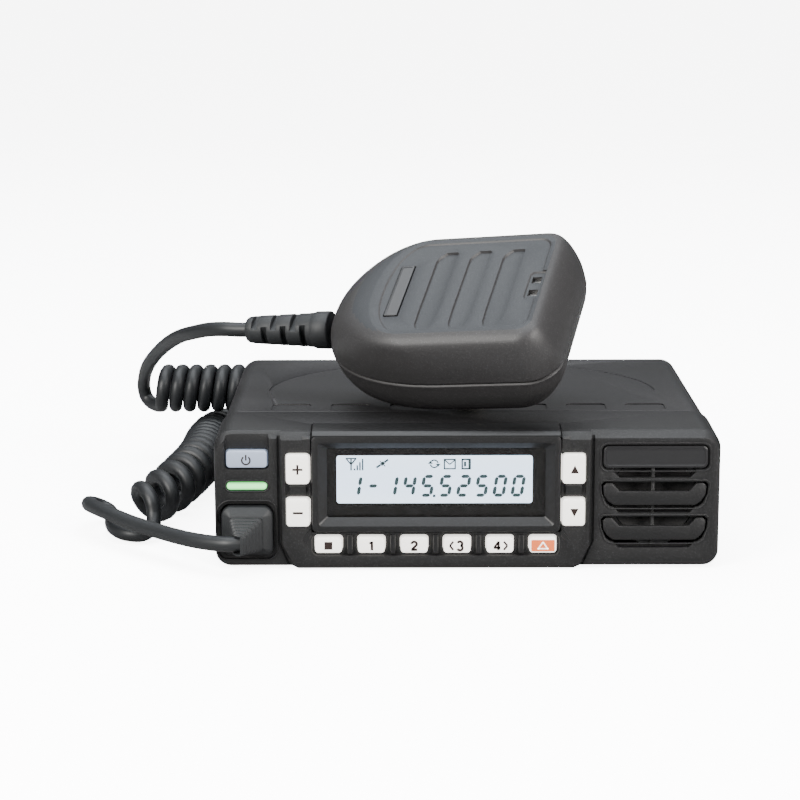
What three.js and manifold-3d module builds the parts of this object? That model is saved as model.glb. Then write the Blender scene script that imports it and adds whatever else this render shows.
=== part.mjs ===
// Mobile radio transceiver with a hand microphone lying on it, in millimetres, +Z up.
// The front faces -Y. The origin is under the middle of the radio with its microphone,
// on the surface that it stands on.
import * as THREE from "three";
import { mergeVertices } from "three/addons/utils/BufferGeometryUtils.js";
import Module from "manifold-3d";

const wasm = await Module();
wasm.setup();

// ---------------------------------------------------------------- driving dimensions
const HALF_WIDTH = 80; // front panel
const HEIGHT = 45;
const FACE = -64; // front face of the panel's side sections
const PANEL_DEPTH = 27;
const PANEL_BACK = FACE + PANEL_DEPTH;
const CHASSIS_REAR = 54;
const COVER_REAR = 53.5;
const GAP = 0.3; // between pieces that touch
const WALL = 2.6; // front panel skin
const CENTRE_PROUD = 2; // centre section of the face stands out by this much
const CENTRE_LEFT = -60.3;
const CENTRE_RIGHT = 39.6;
const CENTRE_FACE = FACE - CENTRE_PROUD;
const CENTRE_INSIDE = CENTRE_FACE + WALL;
const SIDE_INSIDE = FACE + WALL;
const FACE_BAND = 2.4; // chamfer along the face's top edge

const BEZEL = { x0: -49.4, x1: 30.1, z0: 12.5, z1: 43.5, front: FACE - 3.4 };
const WINDOW = { x0: -44.3, x1: 24.7, z0: 16.9, z1: 39.5 };
const HOOD_BACK = FACE + 10;

const KEY_PROUD = 1.3;
const KEY_TRAVEL = 0.8;
const LOWER_KEYS = ["key_stop", "key_one", "key_two", "key_previous", "key_next", "key_alert"];
const LOWER_KEY = { first: -43.4, pitch: 13.56, width: 9.4, z0: 4.9, z1: 11.2 };
const SIDE_KEY_ROWS = { upper: [27.5, 37.6], lower: [13.6, 23.6] };
const SIDE_KEY_COLUMNS = { left: [-57.2, -49.6], right: [30.4, 38] };
const POWER_KEY = { x0: -75.9, x1: -63.3, z0: 32.8, z1: 38.3 };
const LED = { x0: -76, x1: -63.2, z0: 25.4, z1: 28.2 };
const MEMBRANE = { front: FACE + 4.6, back: FACE + 5.4 };
const BOARD_THICKNESS = 1.6;

const RECESS = { x0: -78.2, x1: -61.4, z0: 4, z1: 20.8, depth: 8 };
const JACK = { x: -69.7, z: 12.2 };

const GRILLE = { x0: 42.5, x1: 76, z0: 6.3, z1: 39.7 };
const SPEAKER = { x: 59.2, z: 22.6, radius: 15.8 };

const CHASSIS = { half: 79, upperHalf: 76.8, z0: 2.7, step: 23.7, z1: 39.2, wall: 3, floor: 3.5 };
const HEAT_SINK_FRONT = 40;
const FIN_PITCH = 6;
const FIN_SLOT = 3;
const FIN_COUNT = 8;

const CORD_RADIUS = 2.5;
const COIL_RADIUS = 9.2;

// ---------------------------------------------------------------- colours
const finish = (color, roughness, metalness = 0) =>
  new THREE.MeshStandardMaterial({ color, roughness, metalness });
const panelBlack = () => finish(0x1b1b1c, 0.6);
const coverBlack = () => finish(0x2c2b2d, 0.55, 0.2);
const castAlloy = () => finish(0x2a2a2c, 0.5, 0.6);
const keyWhite = () => finish(0xf1efeb, 0.45);
const rubberBlack = () => finish(0x2b2d30, 0.7);
const micBlack = () => finish(0x303133, 0.55);
const boardGreen = () => finish(0x1f5a38, 0.5);
const steel = () => finish(0x9a9c9e, 0.35, 0.9);
const brass = () => finish(0xb9a45f, 0.35, 0.9);

// ---------------------------------------------------------------- solids
// A closed geometry as a solid that can be joined and cut.
function solid(geometry) {
  const loose = geometry.index ? geometry.toNonIndexed() : geometry.clone();
  const bare = new THREE.BufferGeometry();
  bare.setAttribute("position", loose.getAttribute("position"));
  const merged = mergeVertices(bare, 1e-4);
  const mesh = new wasm.Mesh({
    numProp: 3,
    vertProperties: merged.attributes.position.array,
    triVerts: new Uint32Array(merged.index.array),
  });
  return new wasm.Manifold(mesh);
}

function geometryOf(manifold) {
  const { vertProperties, triVerts } = manifold.getMesh();
  const geometry = new THREE.BufferGeometry();
  geometry.setAttribute("position", new THREE.BufferAttribute(vertProperties, 3));
  geometry.setIndex(new THREE.BufferAttribute(triVerts, 1));
  geometry.computeVertexNormals();
  return geometry;
}

function box(x0, x1, y0, y1, z0, z1) {
  const geometry = new THREE.BoxGeometry(x1 - x0, y1 - y0, z1 - z0);
  geometry.translate((x0 + x1) / 2, (y0 + y1) / 2, (z0 + z1) / 2);
  return solid(geometry);
}

// A rectangle with rounded corners, radii in the order lower left, lower right, upper right, upper left.
function roundedRect(x0, x1, z0, z1, radii) {
  const [a, b, c, d] = Array.isArray(radii) ? radii : [radii, radii, radii, radii];
  const shape = new THREE.Shape();
  shape.moveTo(x0 + a, z0);
  shape.absarc(x1 - b, z0 + b, b, -Math.PI / 2, 0, false);
  shape.absarc(x1 - c, z1 - c, c, 0, Math.PI / 2, false);
  shape.absarc(x0 + d, z1 - d, d, Math.PI / 2, Math.PI, false);
  shape.absarc(x0 + a, z0 + a, a, Math.PI, 1.5 * Math.PI, false);
  return shape;
}

function polygon(points) {
  return new THREE.Shape(points.map(([x, z]) => new THREE.Vector2(x, z)));
}

// Extrudes a shape drawn in X and Z from y0 to y1.
function alongY(shape, y0, y1, curveSegments = 4) {
  const geometry = new THREE.ExtrudeGeometry(shape, { depth: y1 - y0, bevelEnabled: false, curveSegments });
  geometry.rotateX(Math.PI / 2);
  geometry.translate(0, y1, 0);
  return solid(geometry);
}

// Extrudes a shape drawn in Y and Z from x0 to x1.
function alongX(shape, x0, x1) {
  const geometry = new THREE.ExtrudeGeometry(shape, { depth: x1 - x0, bevelEnabled: false });
  geometry.rotateX(Math.PI / 2);
  geometry.rotateZ(Math.PI / 2);
  geometry.translate(x0, 0, 0);
  return solid(geometry);
}

function rodY(x, z, radius, y0, y1, sides = 16) {
  const geometry = new THREE.CylinderGeometry(radius, radius, y1 - y0, sides);
  geometry.translate(x, (y0 + y1) / 2, z);
  return solid(geometry);
}

function rodZ(x, y, radius, z0, z1, sides = 12) {
  const geometry = new THREE.CylinderGeometry(radius, radius, z1 - z0, sides);
  geometry.rotateX(Math.PI / 2);
  geometry.translate(x, y, (z0 + z1) / 2);
  return solid(geometry);
}

// Turns a closed profile of [radius, distance along Y] about an axis parallel to Y.
function turnedY(profile, x, z, sides = 24) {
  const points = profile.map(([r, y]) => new THREE.Vector2(r, y));
  const geometry = new THREE.LatheGeometry(points, sides);
  geometry.translate(x, 0, z);
  return solid(geometry);
}

// A closed solid through loops of points, all with the same number of points.
function loft(loops) {
  const count = loops[0].length;
  const positions = loops.flat().flatMap((p) => [p.x, p.y, p.z]);
  const index = [];
  for (let level = 0; level + 1 < loops.length; level += 1) {
    for (let i = 0; i < count; i += 1) {
      const a = level * count + i;
      const b = level * count + ((i + 1) % count);
      index.push(a, b, b + count, a, b + count, a + count);
    }
  }
  const last = (loops.length - 1) * count;
  for (let i = 1; i + 1 < count; i += 1) {
    index.push(0, i + 1, i);
    index.push(last, last + i, last + i + 1);
  }
  const geometry = new THREE.BufferGeometry();
  geometry.setAttribute("position", new THREE.Float32BufferAttribute(positions, 3));
  geometry.setIndex(index);
  return solid(geometry);
}

// A tube with flat ends along a smooth curve through the points.
function tube(points, radius, steps, sides) {
  const path = new THREE.CatmullRomCurve3(
    points.map(([x, y, z]) => new THREE.Vector3(x, y, z)),
    false,
    "centripetal",
  );
  const section = new THREE.Shape();
  for (let i = 0; i < sides; i += 1) {
    const turn = (2 * Math.PI * i) / sides;
    const place = [radius * Math.cos(turn), radius * Math.sin(turn)];
    if (i === 0) section.moveTo(...place);
    else section.lineTo(...place);
  }
  return new THREE.ExtrudeGeometry(section, { steps, bevelEnabled: false, extrudePath: path });
}

const radio = new THREE.Group();

function add(name, shape, material, parent = radio) {
  const mesh = new THREE.Mesh(shape.isBufferGeometry ? shape : geometryOf(shape), material);
  mesh.name = name;
  parent.add(mesh);
  return mesh;
}

// ---------------------------------------------------------------- front panel
const lowerKeyX = (i) => {
  const centre = LOWER_KEY.first + i * LOWER_KEY.pitch;
  return [centre - LOWER_KEY.width / 2, centre + LOWER_KEY.width / 2];
};

function panelHole(x0, x1, z0, z1) {
  return box(x0 - GAP, x1 + GAP, FACE - 5, SIDE_INSIDE + 1, z0 - GAP, z1 + GAP);
}

function frontPanel() {
  const skinTop = HEIGHT - 0.6;
  let panel = alongY(roundedRect(-HALF_WIDTH, HALF_WIDTH, 0, HEIGHT, [5, 5, 6, 6]), FACE, PANEL_BACK, 5);
  panel = panel.subtract(alongX(polygon([[FACE - 1, skinTop - FACE_BAND - 1], [FACE + 1.4, skinTop],
    [PANEL_BACK + 0.01, HEIGHT], [FACE, HEIGHT + 3], [FACE - 1, HEIGHT + 3]]), -90, 90));
  const centre = polygon([[CENTRE_LEFT, skinTop - 1], [CENTRE_LEFT, 8], [CENTRE_LEFT + 4.7, 0],
    [CENTRE_RIGHT - 3.6, 0], [CENTRE_RIGHT, 8], [CENTRE_RIGHT, skinTop - 1]]);
  panel = panel.add(alongY(centre, CENTRE_FACE, FACE + 1));
  const inner = roundedRect(-HALF_WIDTH + 2.5, HALF_WIDTH - 2.5, 2.5, 42.5, 3.5);
  panel = panel.subtract(alongY(inner, SIDE_INSIDE, PANEL_BACK + 1));
  panel = panel.subtract(box(CENTRE_LEFT + 0.4, CENTRE_RIGHT - 0.4, CENTRE_INSIDE, SIDE_INSIDE + 1, 3, 41.5));
  const tunnelBack = FACE + RECESS.depth + 1;
  panel = panel.add(box(RECESS.x0 - 1.6, RECESS.x1 + 1.6, FACE + 1, tunnelBack, 1.6, RECESS.z1 + 1.6));
  panel = panel.subtract(alongY(roundedRect(RECESS.x0, RECESS.x1, RECESS.z0, RECESS.z1, 3), FACE - 1,
    FACE + RECESS.depth));
  panel = panel.subtract(box(JACK.x - 6.3, JACK.x + 6.3, FACE, FACE + 12, JACK.z - 4.6, JACK.z + 4.6));
  panel = panel.subtract(panelHole(BEZEL.x0, BEZEL.x1, BEZEL.z0, BEZEL.z1 - 0.4));
  const [hoodLeft, hoodRight] = [BEZEL.x0 - GAP, BEZEL.x1 + GAP];
  panel = panel.subtract(box(hoodLeft, hoodRight, FACE - 5, HOOD_BACK + GAP, BEZEL.z1 - GAP, HEIGHT + 1));
  for (let i = 0; i < LOWER_KEYS.length; i += 1) {
    panel = panel.subtract(panelHole(...lowerKeyX(i), LOWER_KEY.z0, LOWER_KEY.z1));
  }
  for (const column of Object.values(SIDE_KEY_COLUMNS)) {
    for (const row of Object.values(SIDE_KEY_ROWS)) panel = panel.subtract(panelHole(...column, ...row));
  }
  panel = panel.subtract(panelHole(POWER_KEY.x0, POWER_KEY.x1, POWER_KEY.z0, POWER_KEY.z1));
  panel = panel.subtract(panelHole(LED.x0, LED.x1, LED.z0, LED.z1));
  return panel.subtract(panelHole(GRILLE.x0, GRILLE.x1, GRILLE.z0, GRILLE.z1));
}

function displayBezel() {
  const frame = box(BEZEL.x0, BEZEL.x1, BEZEL.front, CENTRE_INSIDE - 0.1, BEZEL.z0, BEZEL.z1);
  const hood = box(BEZEL.x0, BEZEL.x1, BEZEL.front + 0.8, HOOD_BACK, BEZEL.z1, HEIGHT);
  const opening = box(WINDOW.x0, WINDOW.x1, FACE - 9, FACE + 9, WINDOW.z0, WINDOW.z1);
  const [low, high] = [WINDOW.z0 - 2.4, WINDOW.z1 + 2.1];
  const rebate = box(WINDOW.x0 - 2.6, WINDOW.x1 + 2.6, FACE - 1.7, FACE + 9, low, high);
  return frame.add(hood).subtract(opening).subtract(rebate);
}

// A key with a lip behind the panel and a plunger towards the membrane.
function key(x0, x1, z0, z1, front, inside) {
  const cap = alongY(roundedRect(x0, x1, z0, z1, 1.1), front, inside + GAP + 0.1, 3);
  const lip = box(x0 - 0.8, x1 + 0.8, inside + GAP, inside + GAP + 0.6, z0 - 0.8, z1 + 0.8);
  const [cx, cz] = [(x0 + x1) / 2, (z0 + z1) / 2];
  const plunger = box(cx - 1.5, cx + 1.5, inside, MEMBRANE.front - KEY_TRAVEL - 0.2, cz - 1.5, cz + 1.5);
  return cap.add(lip).add(plunger);
}

add("front_panel", frontPanel(), panelBlack());
add("display_bezel", displayBezel(), finish(0x151516, 0.5));
const behindOpening = (side, y0, y1, below, above) =>
  box(WINDOW.x0 - side, WINDOW.x1 + side, y0, y1, WINDOW.z0 - below, WINDOW.z1 + above);
add("display_window", behindOpening(2.3, FACE - 1.4, FACE - 0.5, 2.1, 1.8), finish(0x202428, 0.08));
add("display_module", behindOpening(1.5, FACE - 0.2, FACE + 4, 1.5, 1.3), finish(0xdce6f7, 0.4));
add("led_window", box(LED.x0, LED.x1, FACE - 0.2, SIDE_INSIDE, LED.z0, LED.z1), finish(0x8ccf98, 0.3));

LOWER_KEYS.forEach((name, i) => {
  const [x0, x1] = lowerKeyX(i);
  const shape = key(x0, x1, LOWER_KEY.z0, LOWER_KEY.z1, CENTRE_FACE - KEY_PROUD, CENTRE_INSIDE);
  add(name, shape, keyWhite());
});
const sideKeys = [
  ["key_plus", SIDE_KEY_COLUMNS.left, SIDE_KEY_ROWS.upper],
  ["key_minus", SIDE_KEY_COLUMNS.left, SIDE_KEY_ROWS.lower],
  ["key_up", SIDE_KEY_COLUMNS.right, SIDE_KEY_ROWS.upper],
  ["key_down", SIDE_KEY_COLUMNS.right, SIDE_KEY_ROWS.lower],
];
for (const [name, column, row] of sideKeys) {
  add(name, key(...column, ...row, CENTRE_FACE - KEY_PROUD, CENTRE_INSIDE), keyWhite());
}
const powerKey = key(POWER_KEY.x0, POWER_KEY.x1, POWER_KEY.z0, POWER_KEY.z1, FACE - 0.6, SIDE_INSIDE);
add("key_power", powerKey, finish(0xa9b2c6, 0.45));

// ---------------------------------------------------------------- speaker behind its grille
function speakerGrille() {
  let plate = box(GRILLE.x0, GRILLE.x1, FACE + 0.9, SIDE_INSIDE, GRILLE.z0, GRILLE.z1);
  for (const [z0, z1] of [[6.9, 9.4], [17.7, 20.6], [29, 32.2]]) {
    plate = plate.subtract(box(46.2, 72.2, FACE - 1, FACE + 4, z0, z1));
  }
  for (const z0 of [8.9, 20.3]) {
    plate = plate.add(alongY(roundedRect(42.9, 75.6, z0 + 0.4, z0 + 7.2, 1.5), FACE + 0.1, FACE + 1.5, 2));
  }
  for (const z0 of [13.4, 24.9]) {
    plate = plate.subtract(box(46.2, 72.2, FACE - 1, FACE + 4, z0, z0 + 3.1));
  }
  return plate;
}

add("speaker_grille", speakerGrille(), panelBlack());
const badgePlate = alongY(roundedRect(42.9, 75.6, 32.5, 39.4, 1.4), FACE + 0.1, FACE + 0.6, 3);
add("grille_badge", badgePlate, finish(0x333335, 0.4));

// Profiles of the speaker: distance from its axis, distance behind the face.
function turnedSpeaker(profile) {
  const placed = profile.map(([r, depth]) => [r, FACE + depth]);
  return turnedY(placed, SPEAKER.x, SPEAKER.z);
}
const rim = SPEAKER.radius;
const basket = [[rim, 3], [rim, 5], [10, 11.5], [10, 17.5], [0, 17.5], [0, 13], [8.6, 11], [rim - 2, 4.6],
  [rim - 2, 3], [rim, 3]];
const cone = [[rim - 2.3, 3.2], [rim - 2.3, 3.9], [4, 9.2], [0, 9.2], [0, 8.4], [4, 8.4], [rim - 2.3, 3.2]];
add("speaker_frame", turnedSpeaker(basket), steel());
add("speaker_cone", turnedSpeaker(cone), finish(0x202020, 0.9));

// ---------------------------------------------------------------- boards inside
const padOutline = [[-58.8, 3.5], [38.8, 3.5], [38.8, 41], [-76.5, 41], [-76.5, 30.5], [-58.8, 30.5]];
const displayHole = box(-46.5, 26.8, FACE, FACE + 9, 14.6, 41.4);
add("key_membrane", alongY(polygon(padOutline), MEMBRANE.front, MEMBRANE.back).subtract(displayHole),
  finish(0x50545a, 0.8));
const boardFront = MEMBRANE.back + GAP;
add("control_board", alongY(polygon(padOutline), boardFront, boardFront + BOARD_THICKNESS), boardGreen());
add("main_board", box(-70, 70, -30, 36, 11, 11 + BOARD_THICKNESS), boardGreen());
add("shield_can", box(-48, 12, -22, 22, 13, 20), steel());
add("power_module", box(26, 62, 8, 30, 13, 19), finish(0x24262a, 0.5));
const jackCavity = box(JACK.x - 6.1, JACK.x + 6.1, FACE, FACE + 22.5, JACK.z - 4.3, JACK.z + 4.3);
const jackBlock = box(-76.6, -62.8, FACE + 9.3, FACE + 25, 4.8, 19.6);
add("mic_jack", jackBlock.subtract(jackCavity), finish(0x17181a, 0.5));

// ---------------------------------------------------------------- chassis and covers
const COVER_SCREWS = [[-66, -27], [66, -27], [-66, 34], [66, 34]];
const SCREW = { head: 2.6, shank: 1.2 };

function chassis() {
  const { half, upperHalf, z0, step, z1, wall, floor } = CHASSIS;
  const front = PANEL_BACK + GAP;
  let body = box(-half, half, front, CHASSIS_REAR, z0, step);
  body = body.add(box(-upperHalf, upperHalf, front, CHASSIS_REAR, step - 1, z1));
  const inside = upperHalf - wall;
  body = body.subtract(box(-inside, inside, front - 1, HEAT_SINK_FRONT, z0 + floor, z1 + 1));
  for (let i = 0; i < FIN_COUNT; i += 1) {
    const x = 2 + i * FIN_PITCH;
    body = body.subtract(box(x, x + FIN_SLOT, CHASSIS_REAR - 11, CHASSIS_REAR + 1, z0 + 2, z1 + 1));
  }
  for (const [x, y] of COVER_SCREWS) body = body.subtract(rodZ(x, y, SCREW.shank + GAP, z0 - 1, z0 + 2.6));
  return body;
}

function topCover() {
  const outline = roundedRect(-79.2, 79.2, CHASSIS.step + GAP, HEIGHT, [0.5, 0.5, 6, 6]);
  const inside = roundedRect(-77.1, 77.1, CHASSIS.step - 2, HEIGHT - 2.2, [0.5, 0.5, 4, 4]);
  const shell = alongY(outline, PANEL_BACK + GAP, COVER_REAR, 5);
  return shell.subtract(alongY(inside, PANEL_BACK, COVER_REAR + 1, 4));
}

function bottomCover() {
  let plate = box(-76, 76, -35.5, 50, 0, CHASSIS.z0 - GAP);
  for (const [x, y] of COVER_SCREWS) {
    plate = plate.subtract(rodZ(x, y, SCREW.head + GAP, -1, 1.7));
    plate = plate.subtract(rodZ(x, y, SCREW.shank + GAP, -1, 4));
  }
  return plate;
}

add("chassis", chassis(), castAlloy());
add("top_cover", topCover(), coverBlack());
add("bottom_cover", bottomCover(), coverBlack());
COVER_SCREWS.forEach(([x, y], i) => {
  const screw = rodZ(x, y, SCREW.head, 0.2, 1.4).add(rodZ(x, y, SCREW.shank, 1, 5));
  add(`cover_screw_${i + 1}`, screw, steel());
});
const gasketOuter = alongY(roundedRect(-77.1, 77.1, 2.9, 42.1, 3), PANEL_BACK - 1.2, PANEL_BACK, 3);
const gasketOpening = box(-74.5, 74.5, PANEL_BACK - 3, PANEL_BACK + 1, 5.5, 39.5);
add("panel_gasket", gasketOuter.subtract(gasketOpening), rubberBlack());

// ---------------------------------------------------------------- sockets at the rear
const REAR = CHASSIS_REAR + GAP;
const ANTENNA = { x: 62, z: 21, reach: 13.1 };
const INLET = { x: -14, z: 16, half: 9, halfHeight: 5.5, reach: 9, pin: 4.9 };

const antennaBody = box(ANTENNA.x - 9, ANTENNA.x + 9, REAR, REAR + 2.4, ANTENNA.z - 9, ANTENNA.z + 9)
  .add(rodY(ANTENNA.x, ANTENNA.z, 7.8, REAR + 2, REAR + ANTENNA.reach, 24))
  .subtract(rodY(ANTENNA.x, ANTENNA.z, 1.9, REAR + 4, REAR + 20, 12));
add("antenna_connector", antennaBody, brass());
const inletBlock = (half, halfHeight, y0, y1) =>
  box(INLET.x - half, INLET.x + half, y0, y1, INLET.z - halfHeight, INLET.z + halfHeight);
let inlet = inletBlock(INLET.half, INLET.halfHeight, REAR, REAR + INLET.reach);
inlet = inlet.subtract(inletBlock(INLET.half - 1.6, INLET.halfHeight - 1.7, REAR + 1.6, REAR + 20));
for (const side of [-1, 1]) {
  inlet = inlet.add(rodY(INLET.x + side * INLET.pin, INLET.z, 1.1, REAR + 1, REAR + 7, 10));
}
add("dc_power_inlet", inlet, finish(0x18191b, 0.5));
const portShape = polygon([[-70, 12.2], [-34, 12.2], [-32.4, 22.2], [-71.6, 22.2]]);
add("accessory_port", alongY(portShape, REAR, REAR + 5.8), steel());
const jackBody = rodY(-52, 31, 4.4, REAR, REAR + 2.6).subtract(rodY(-52, 31, 1.8, REAR + 0.6, REAR + 9, 12));
add("speaker_jack", jackBody, finish(0x18191b, 0.5));

// ---------------------------------------------------------------- hand microphone, in its own frame
// x runs from the cord to the sound holes, y across to the talk key, z out of the face.
const MIC = { place: [-3.4, FACE + 37.9, 70.3], yaw: -20, rise: 5.5, tilt: 31.5 };
const RELIEF = { x: -43, z: 1.7, length: 30, tilt: 3 };
const MIC_PARTING = 0;
const MIC_WALL = 2.2;
const micGroup = new THREE.Group();
const radians = THREE.MathUtils.degToRad;
micGroup.rotation.set(radians(MIC.tilt), -radians(MIC.rise), radians(MIC.yaw), "ZYX");
micGroup.position.set(...MIC.place);
radio.add(micGroup);

// Outline of the body at one height: left end, right end, half width, corner radius
// and where the round end starts.
const FRONT_LEVELS = [
  [0, -42.5, 41, 27.7, 11, 4],
  [6, -41, 40.6, 27.6, 10, 2],
  [11.5, -37.7, 39.2, 27, 9, 0],
  [15, -33, 37.7, 26, 8, -4],
  [16.8, -28, 36.3, 24.1, 6, -7],
  [17.7, -23.4, 34.6, 22.2, 5, -9],
];
const REAR_LEVELS = [
  [-14.3, -36, 33, 23.4, 9, 4],
  [-12.8, -38.4, 35, 25.1, 10, 4],
  [-9.8, -40.2, 37.3, 26.6, 11, 4],
  [-5.9, -41.6, 39.7, 27.4, 11, 4],
  [-GAP, -42.5, 41, 27.7, 11, 4],
];

function micLoop([z, left, right, half, corner, join], inset = 0) {
  const [l, r, h] = [left + inset, right - inset, half - inset];
  const c = Math.max(corner - inset, 2);
  const points = [];
  const CORNER_STEPS = 4;
  const END_STEPS = 18;
  for (const [side, from] of [[-1, -90], [1, 0]]) {
    for (let k = 0; k <= CORNER_STEPS; k += 1) {
      const turn = radians(from + (90 * k) / CORNER_STEPS);
      points.push(new THREE.Vector3(r - c + c * Math.cos(turn), side * (h - c) + c * Math.sin(turn), z));
    }
  }
  for (let k = 1; k < END_STEPS; k += 1) {
    const turn = Math.PI / 2 + (Math.PI * k) / END_STEPS;
    const x = join - (join - l) * Math.abs(Math.cos(turn)) ** 0.9;
    const y = Math.sign(Math.sin(turn)) * h * Math.abs(Math.sin(turn)) ** 0.9;
    points.push(new THREE.Vector3(x, y, z));
  }
  return points;
}

function micHollow(levels, low, high) {
  const [first, last] = [levels[0], levels[levels.length - 1]];
  const between = levels.filter(([z]) => z > low && z < high);
  const at = (level, z) => [z, ...level.slice(1)];
  return loft([at(first, low), ...between, at(last, high)].map((level) => micLoop(level, MIC_WALL)));
}

const PTT = { x0: 8, x1: 33, z0: 0.9, z1: 11.4, inner: 24.4, outer: 29.6, travel: 1.5 };

function micFrontShell() {
  let shell = loft(FRONT_LEVELS.map((level) => micLoop(level)));
  shell = shell.subtract(micHollow(FRONT_LEVELS, MIC_PARTING - 1, 15.4));
  for (const x of [-1.9, 9.6, 21]) shell = shell.subtract(box(x - 3.2, x + 3.2, -18.7, 18.7, 17, 20));
  for (const y of [-3.1, 3.1]) shell = shell.subtract(box(30.1, 32.7, y - 1.3, y + 1.3, 12, 20));
  shell = shell.subtract(box(-17.2, -11.8, -12.8, 12.8, 17, 20));
  shell = shell.subtract(box(PTT.x0 - 0.4, PTT.x1 + 0.4, 22, 35, PTT.z0 - 3, PTT.z1 + 0.4));
  return shell;
}

const MIC_SCREWS = [[-30, 0], [28, -17], [28, 17]];

function micRearShell() {
  let shell = loft(REAR_LEVELS.map((level) => micLoop(level)));
  shell = shell.subtract(micHollow(REAR_LEVELS, -12.1, 1));
  for (const [x, y] of MIC_SCREWS) shell = shell.subtract(rodZ(x, y, 1.5, -16, -10));
  return shell;
}

add("mic_front_shell", micFrontShell(), micBlack(), micGroup);
add("mic_rear_shell", micRearShell(), micBlack(), micGroup);
add("mic_badge", box(-16.9, -12.1, -12.5, 12.5, 17.3, 17.8), finish(0x3a3c40, 0.4), micGroup);
const pttBody = box(PTT.x0, PTT.x1, PTT.inner, PTT.outer, PTT.z0, PTT.z1);
add("ptt_key", pttBody, rubberBlack(), micGroup);
add("ptt_switch", box(17, 24, 18.4, PTT.inner - PTT.travel - 0.2, 2.8, 8), finish(0x26282b, 0.5), micGroup);
add("mic_board", box(-18, 26, -18, 20, 1, 2.5), boardGreen(), micGroup);
add("mic_capsule", rodZ(30.5, 0, 4.8, 9, 15, 20), steel(), micGroup);
const studProfile = [[0, -24], [6, -24], [6.6, -23.2], [6.6, -21.4], [4.4, -20.6], [4.4, -15.8], [7, -15.4],
  [7, -14.6], [0, -14.6]];
const stud = new THREE.LatheGeometry(studProfile.map(([r, z]) => new THREE.Vector2(r, z)), 20);
stud.rotateX(Math.PI / 2);
add("hanger_stud", solid(stud), steel(), micGroup);
MIC_SCREWS.forEach(([x, y], i) => {
  add(`mic_screw_${i + 1}`, rodZ(x, y, 1.2, -14.2, -10.4, 10), steel(), micGroup);
});
const reliefProfile = [[0, 0], [6.4, 0], [6, 5], [4.7, 17], [4.6, RELIEF.length], [0, RELIEF.length]];
const relief = new THREE.LatheGeometry(reliefProfile.map(([r, y]) => new THREE.Vector2(r, y)), 16);
relief.rotateZ(Math.PI / 2);
relief.rotateY(radians(RELIEF.tilt));
relief.translate(RELIEF.x, 0, RELIEF.z);
add("mic_strain_relief", solid(relief), rubberBlack(), micGroup);

// ---------------------------------------------------------------- cord, from the plug to the microphone
const plugShell = box(JACK.x - 5.8, JACK.x + 5.8, FACE + 7.5, FACE + 22, JACK.z - 4, JACK.z + 4);
add("mic_plug", plugShell, finish(0xd8d4c4, 0.2));
const bootBase = alongY(roundedRect(-77.8, -61.8, 4.4, 20.4, 2.6), FACE - 2.6, FACE + 7.2, 3);
const bootNose = alongY(polygon([[-70.6, 5.2], [-64, 5.2], [-64, 15], [-67, 17.4], [-70.6, 17.4]]),
  FACE - 12.4, FACE - 2);
add("plug_boot", bootBase.add(bootNose), rubberBlack());

const plugLeadRoute = [
  [-71, -73.4, 10.6], [-75, -73.1, 10.4], [-80, -70.5, 10], [-86, -66, 9.6], [-92, -60.4, 9.3],
  [-98, -54.4, 9.2], [-104, -48.6, 9.3], [-110, -42.6, 9.6], [-116, -36.2, 10.1], [-121.4, -29.4, 10.3],
  [-125.4, -22, 9.8], [-126.6, -14.8, 8.2], [-125, -9.8, 5.6], [-121.8, -11.6, 3.6], [-119.6, -18, 2.9],
  [-117.6, -24.6, 2.8], [-114.8, -30.4, 2.8], [-110.6, -34, 2.8], [-105.6, -34, 2.8],
  [-102.4, -30.6, 3.2],
];
const coilLowerRoute = [
  [-106.2, -26.5, 9.4], [-103.2, -12, 9.4], [-99.9, 3, 9.4], [-97, 24, 9.4], [-95.2, 42, 9.4],
  [-94.3, 58, 9.4], [-94, 73, 9.4], [-92.2, 86, 9.4], [-86.6, 96, 9.4], [-77, 99.4, 9.4],
  [-67, 96.4, 9.4], [-59, 90.6, 9.4], [-51, 86.4, 9.4], [-42, 84.4, 9.4], [-30, 84, 9.4],
  [-16, 84, 9.4], [2, 85.4, 9.4], [15.4, 91, 9.4], [21, 99.6, 9.4], [21, 105, 9.4],
];
const coilUpperRoute = [
  [21, 105.4, 9.4], [21, 110.8, 9.4], [15.4, 119.4, 9.4], [3, 124.4, 9.4], [-10, 121.6, 9.4], [-20, 114, 11],
  [-30, 104.6, 17.2], [-42, 94.8, 25.8], [-54, 87, 28.6], [-68, 83, 28.6], [-88, 82, 28.6],
  [-114.4, 82, 28.6],
];
const micLeadRoute = [
  [-118.2, 88.4, 22.6], [-119.4, 88, 27.1], [-119, 83.5, 31.9], [-117, 75, 37.5], [-113.6, 64, 43.2],
  [-108.9, 51.4, 49.2], [-104, 38.4, 54.4], [-98.7, 25.4, 58.9], [-93, 14, 62.2], [-87, 6, 64.6],
  [-81, 0.8, 65.7],
];
micGroup.updateMatrix();
for (const beyond of [4, GAP]) {
  const point = new THREE.Vector3(-RELIEF.length - beyond, 0, 0);
  point.applyAxisAngle(new THREE.Vector3(0, 1, 0), radians(RELIEF.tilt));
  point.add(new THREE.Vector3(RELIEF.x, 0, RELIEF.z)).applyMatrix4(micGroup.matrix);
  micLeadRoute.push(point.toArray());
}

add("cord_plug_lead", tube(plugLeadRoute, CORD_RADIUS, 30, 8), rubberBlack());
add("cord_coil_lower", tube(coilLowerRoute, COIL_RADIUS, 26, 12), rubberBlack());
add("cord_coil_upper", tube(coilUpperRoute, COIL_RADIUS, 18, 12), rubberBlack());
add("cord_mic_lead", tube(micLeadRoute, CORD_RADIUS, 16, 8), rubberBlack());

export default radio;
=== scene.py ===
import math

import bmesh
import bpy
from mathutils import Matrix, Vector


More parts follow.
